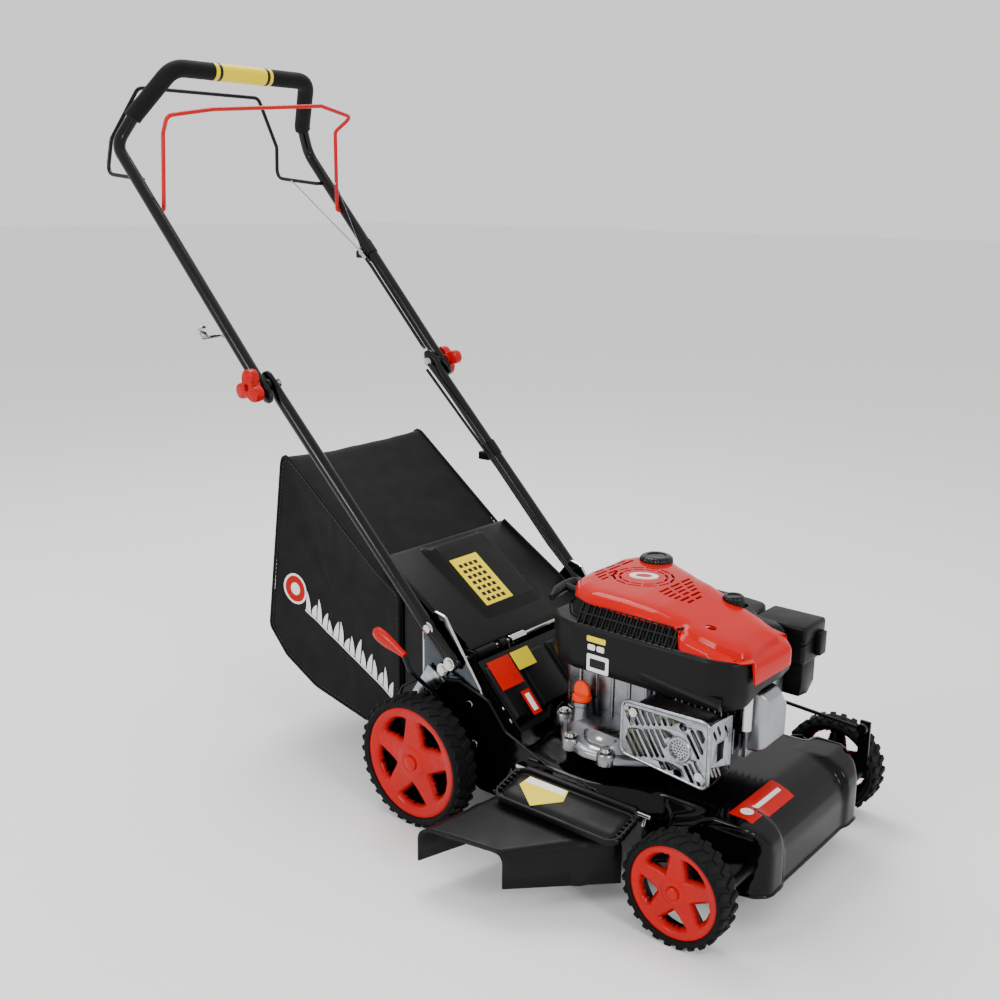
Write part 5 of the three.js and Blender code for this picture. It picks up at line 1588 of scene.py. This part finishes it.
def grid(a, b, c, d, count=(14, 5)):
    # corner points a, b, c, d in order round the patch
    a, b, c, d = (Vector(p) for p in (a, b, c, d))
    net = []
    for i in range(count[1]):
        v = i / (count[1] - 1)
        net.append([a.lerp(b, u).lerp(d.lerp(c, u), v) for u in np.linspace(0, 1, count[0])])
    return net


def buildPatches():
    patchOn("deck_patch", "deck_shell", grid((-136, -471, 220), (-14, -471, 220), (-14, -506, 220),
                                             (-136, -506, 220)),
            (0, 0, -1), vinylRed, 0.7)
    stripe = grid((-98, -485, 220), (-24, -485, 220), (-24, -491, 220), (-98, -491, 220), (10, 3))
    patchOn("deck_patch_stripe", "deck_shell", stripe, (0, 0, -1), vinylWhite, 1.0)
    dot = [[Vector((-116 + r * math.cos(t), -488 + r * math.sin(t), 220))
            for t in np.linspace(0, 2 * math.pi, 25)]
           for r in (0.01, 5, 9)]
    patchOn("deck_patch_dot", "deck_shell", dot, (0, 0, -1), vinylWhite, 1.0)

    # bag: a plain target of rings, and a row of blades of grass in white print
    centre = Vector((-260, 352, 272))
    ring = lambda inner, outer, lift: stuckOn("bag_cloth_shell", [
        [centre + Vector((0, r * math.cos(t), r * math.sin(t))) for t in np.linspace(0, 2 * math.pi, 49)]
        for r in np.linspace(inner, outer, 4)], (1, 0, 0), lift)
    piece("bag_print_rings", combine(ring(0.01, 11, 0.9), ring(23, 27, 0.9)), printWhite, "grass_bag")
    piece("bag_print_ring", ring(11, 23, 0.8), printRed, "grass_bag")
    blades = []
    start, way = Vector((-260, 322, 246)), Vector((0, -0.906, -0.423))
    up = Vector((0, -0.1, 0.995))
    heights = [34, 24, 38, 28, 20, 32, 36, 22, 30, 40, 24, 34, 28, 22, 36, 26]
    for k, tall in enumerate(heights):
        foot = start + way * (k * 14.6)
        bend = way * (5 if k % 2 else -4)
        net = []
        for u in np.linspace(0, 1, 7):
            middle = foot + up * (tall * u - 8) + bend * u * u
            wide = way * (5.6 * (1 - u ** 2.4) + 0.4)
            net.append([middle - wide, middle, middle + wide])
        blades.append(stuckOn("bag_cloth_shell", net, (1, 0, 0), 0.9))
    foot = grid(start - up * 12 - way * 8, start - up * 12 + way * 226, start - up * 9 + way * 226,
                start - up * 9 - way * 8, (30, 3))
    blades.append(stuckOn("bag_cloth_shell", foot, (1, 0, 0), 0.9))
    piece("bag_print_blades", combine(*blades), printWhite, "grass_bag", crease=60)

    # plain wrap round the foam
    wrap = [(x, 627, 1121) for x in (-68, -30, 8, 56)]
    band = sweep(wrap, [(handle["foam"] + 0.4, handle["foam"] + 0.4)] * 4, 32, capped=False)
    piece("grip_wrap", band, vinylYellow, "upper_handle", crease=60)
    marks = [sweep([(x, 627, 1121), (x + 6, 627, 1121)], [(handle["foam"] + 0.7,) * 2] * 2, 32, capped=False)
             for x in (-60, 43)]
    piece("grip_wrap_marks", combine(*marks), vinylBlack, "upper_handle", crease=60)


def buildSkirts():
    # rear ends of the pressed deck: they close the gap beside the tunnel, inside each rear wheel
    outline = [(-214, 62), (-214, 138), (-170, 152), (-128, 168), (-96, 206), (-40, 222), (40, 205),
               (78, 180),
               (92, 146), (92, 138), (36, 138), (-26, 138), (-30, 124), (-44, 92), (-60, 70), (-84, 62)]
    for side, name in ((-1, "right"), (1, "left")):
        bent = [p.xy for p in roundCorners([Vector((a, b, 0)) for a, b in outline], 14, 5, closed=True)]
        wall = soften(prism("x", *sorted((side * 174.2, side * 176)), bent), 0.5, 1, 50)
        lip = sweep([Vector((side * 176.4, a, b)) for a, b in bent + bent[:1]], 2.2, 10, capped=False)
        piece(name + "_wheel_arch", combine(wall, lip), deckEnamel, "chassis", crease=45)
    # flat stay bolted on the far side of the pressing, just inside the front wheel
    stay = prism("x", 160.4, 163, [(-418, 132), (-432, 136), (-444, 128), (-497, 82), (-499, 68), (-485, 62),
                                   (-473, 68), (-422, 114)])
    piece("front_stay", soften(stay, 0.8), tubeCoat, "chassis")
    boltsOn("front_stay_bolts", "chassis", [(164.4, -432, 124), (164.4, -486, 74)], alongX, 6, 5, 9)


buildPatches()
buildSkirts()
print("patches and small parts built")

# the CAD pieces that stay
kept = {
    mouldedBlack: ["rear_tunnel", "starter_pulley", "fuel_tank"],
    chrome: ["flap_hinge_rod", "side_flap_rod", "blade_bolt"],
    darkSteel: ["rear_axle", "front_axle", "height_link_rod", "drive_belt", "bag_frame"],
    castSkin: ["gearbox", "flywheel", "blade_adapter"],
    turnedSteel: ["crankshaft", "blade"],
}
for made, nodes in kept.items():
    for node in nodes:
        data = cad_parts[node].data
        data.materials.clear()
        data.materials.append(made)
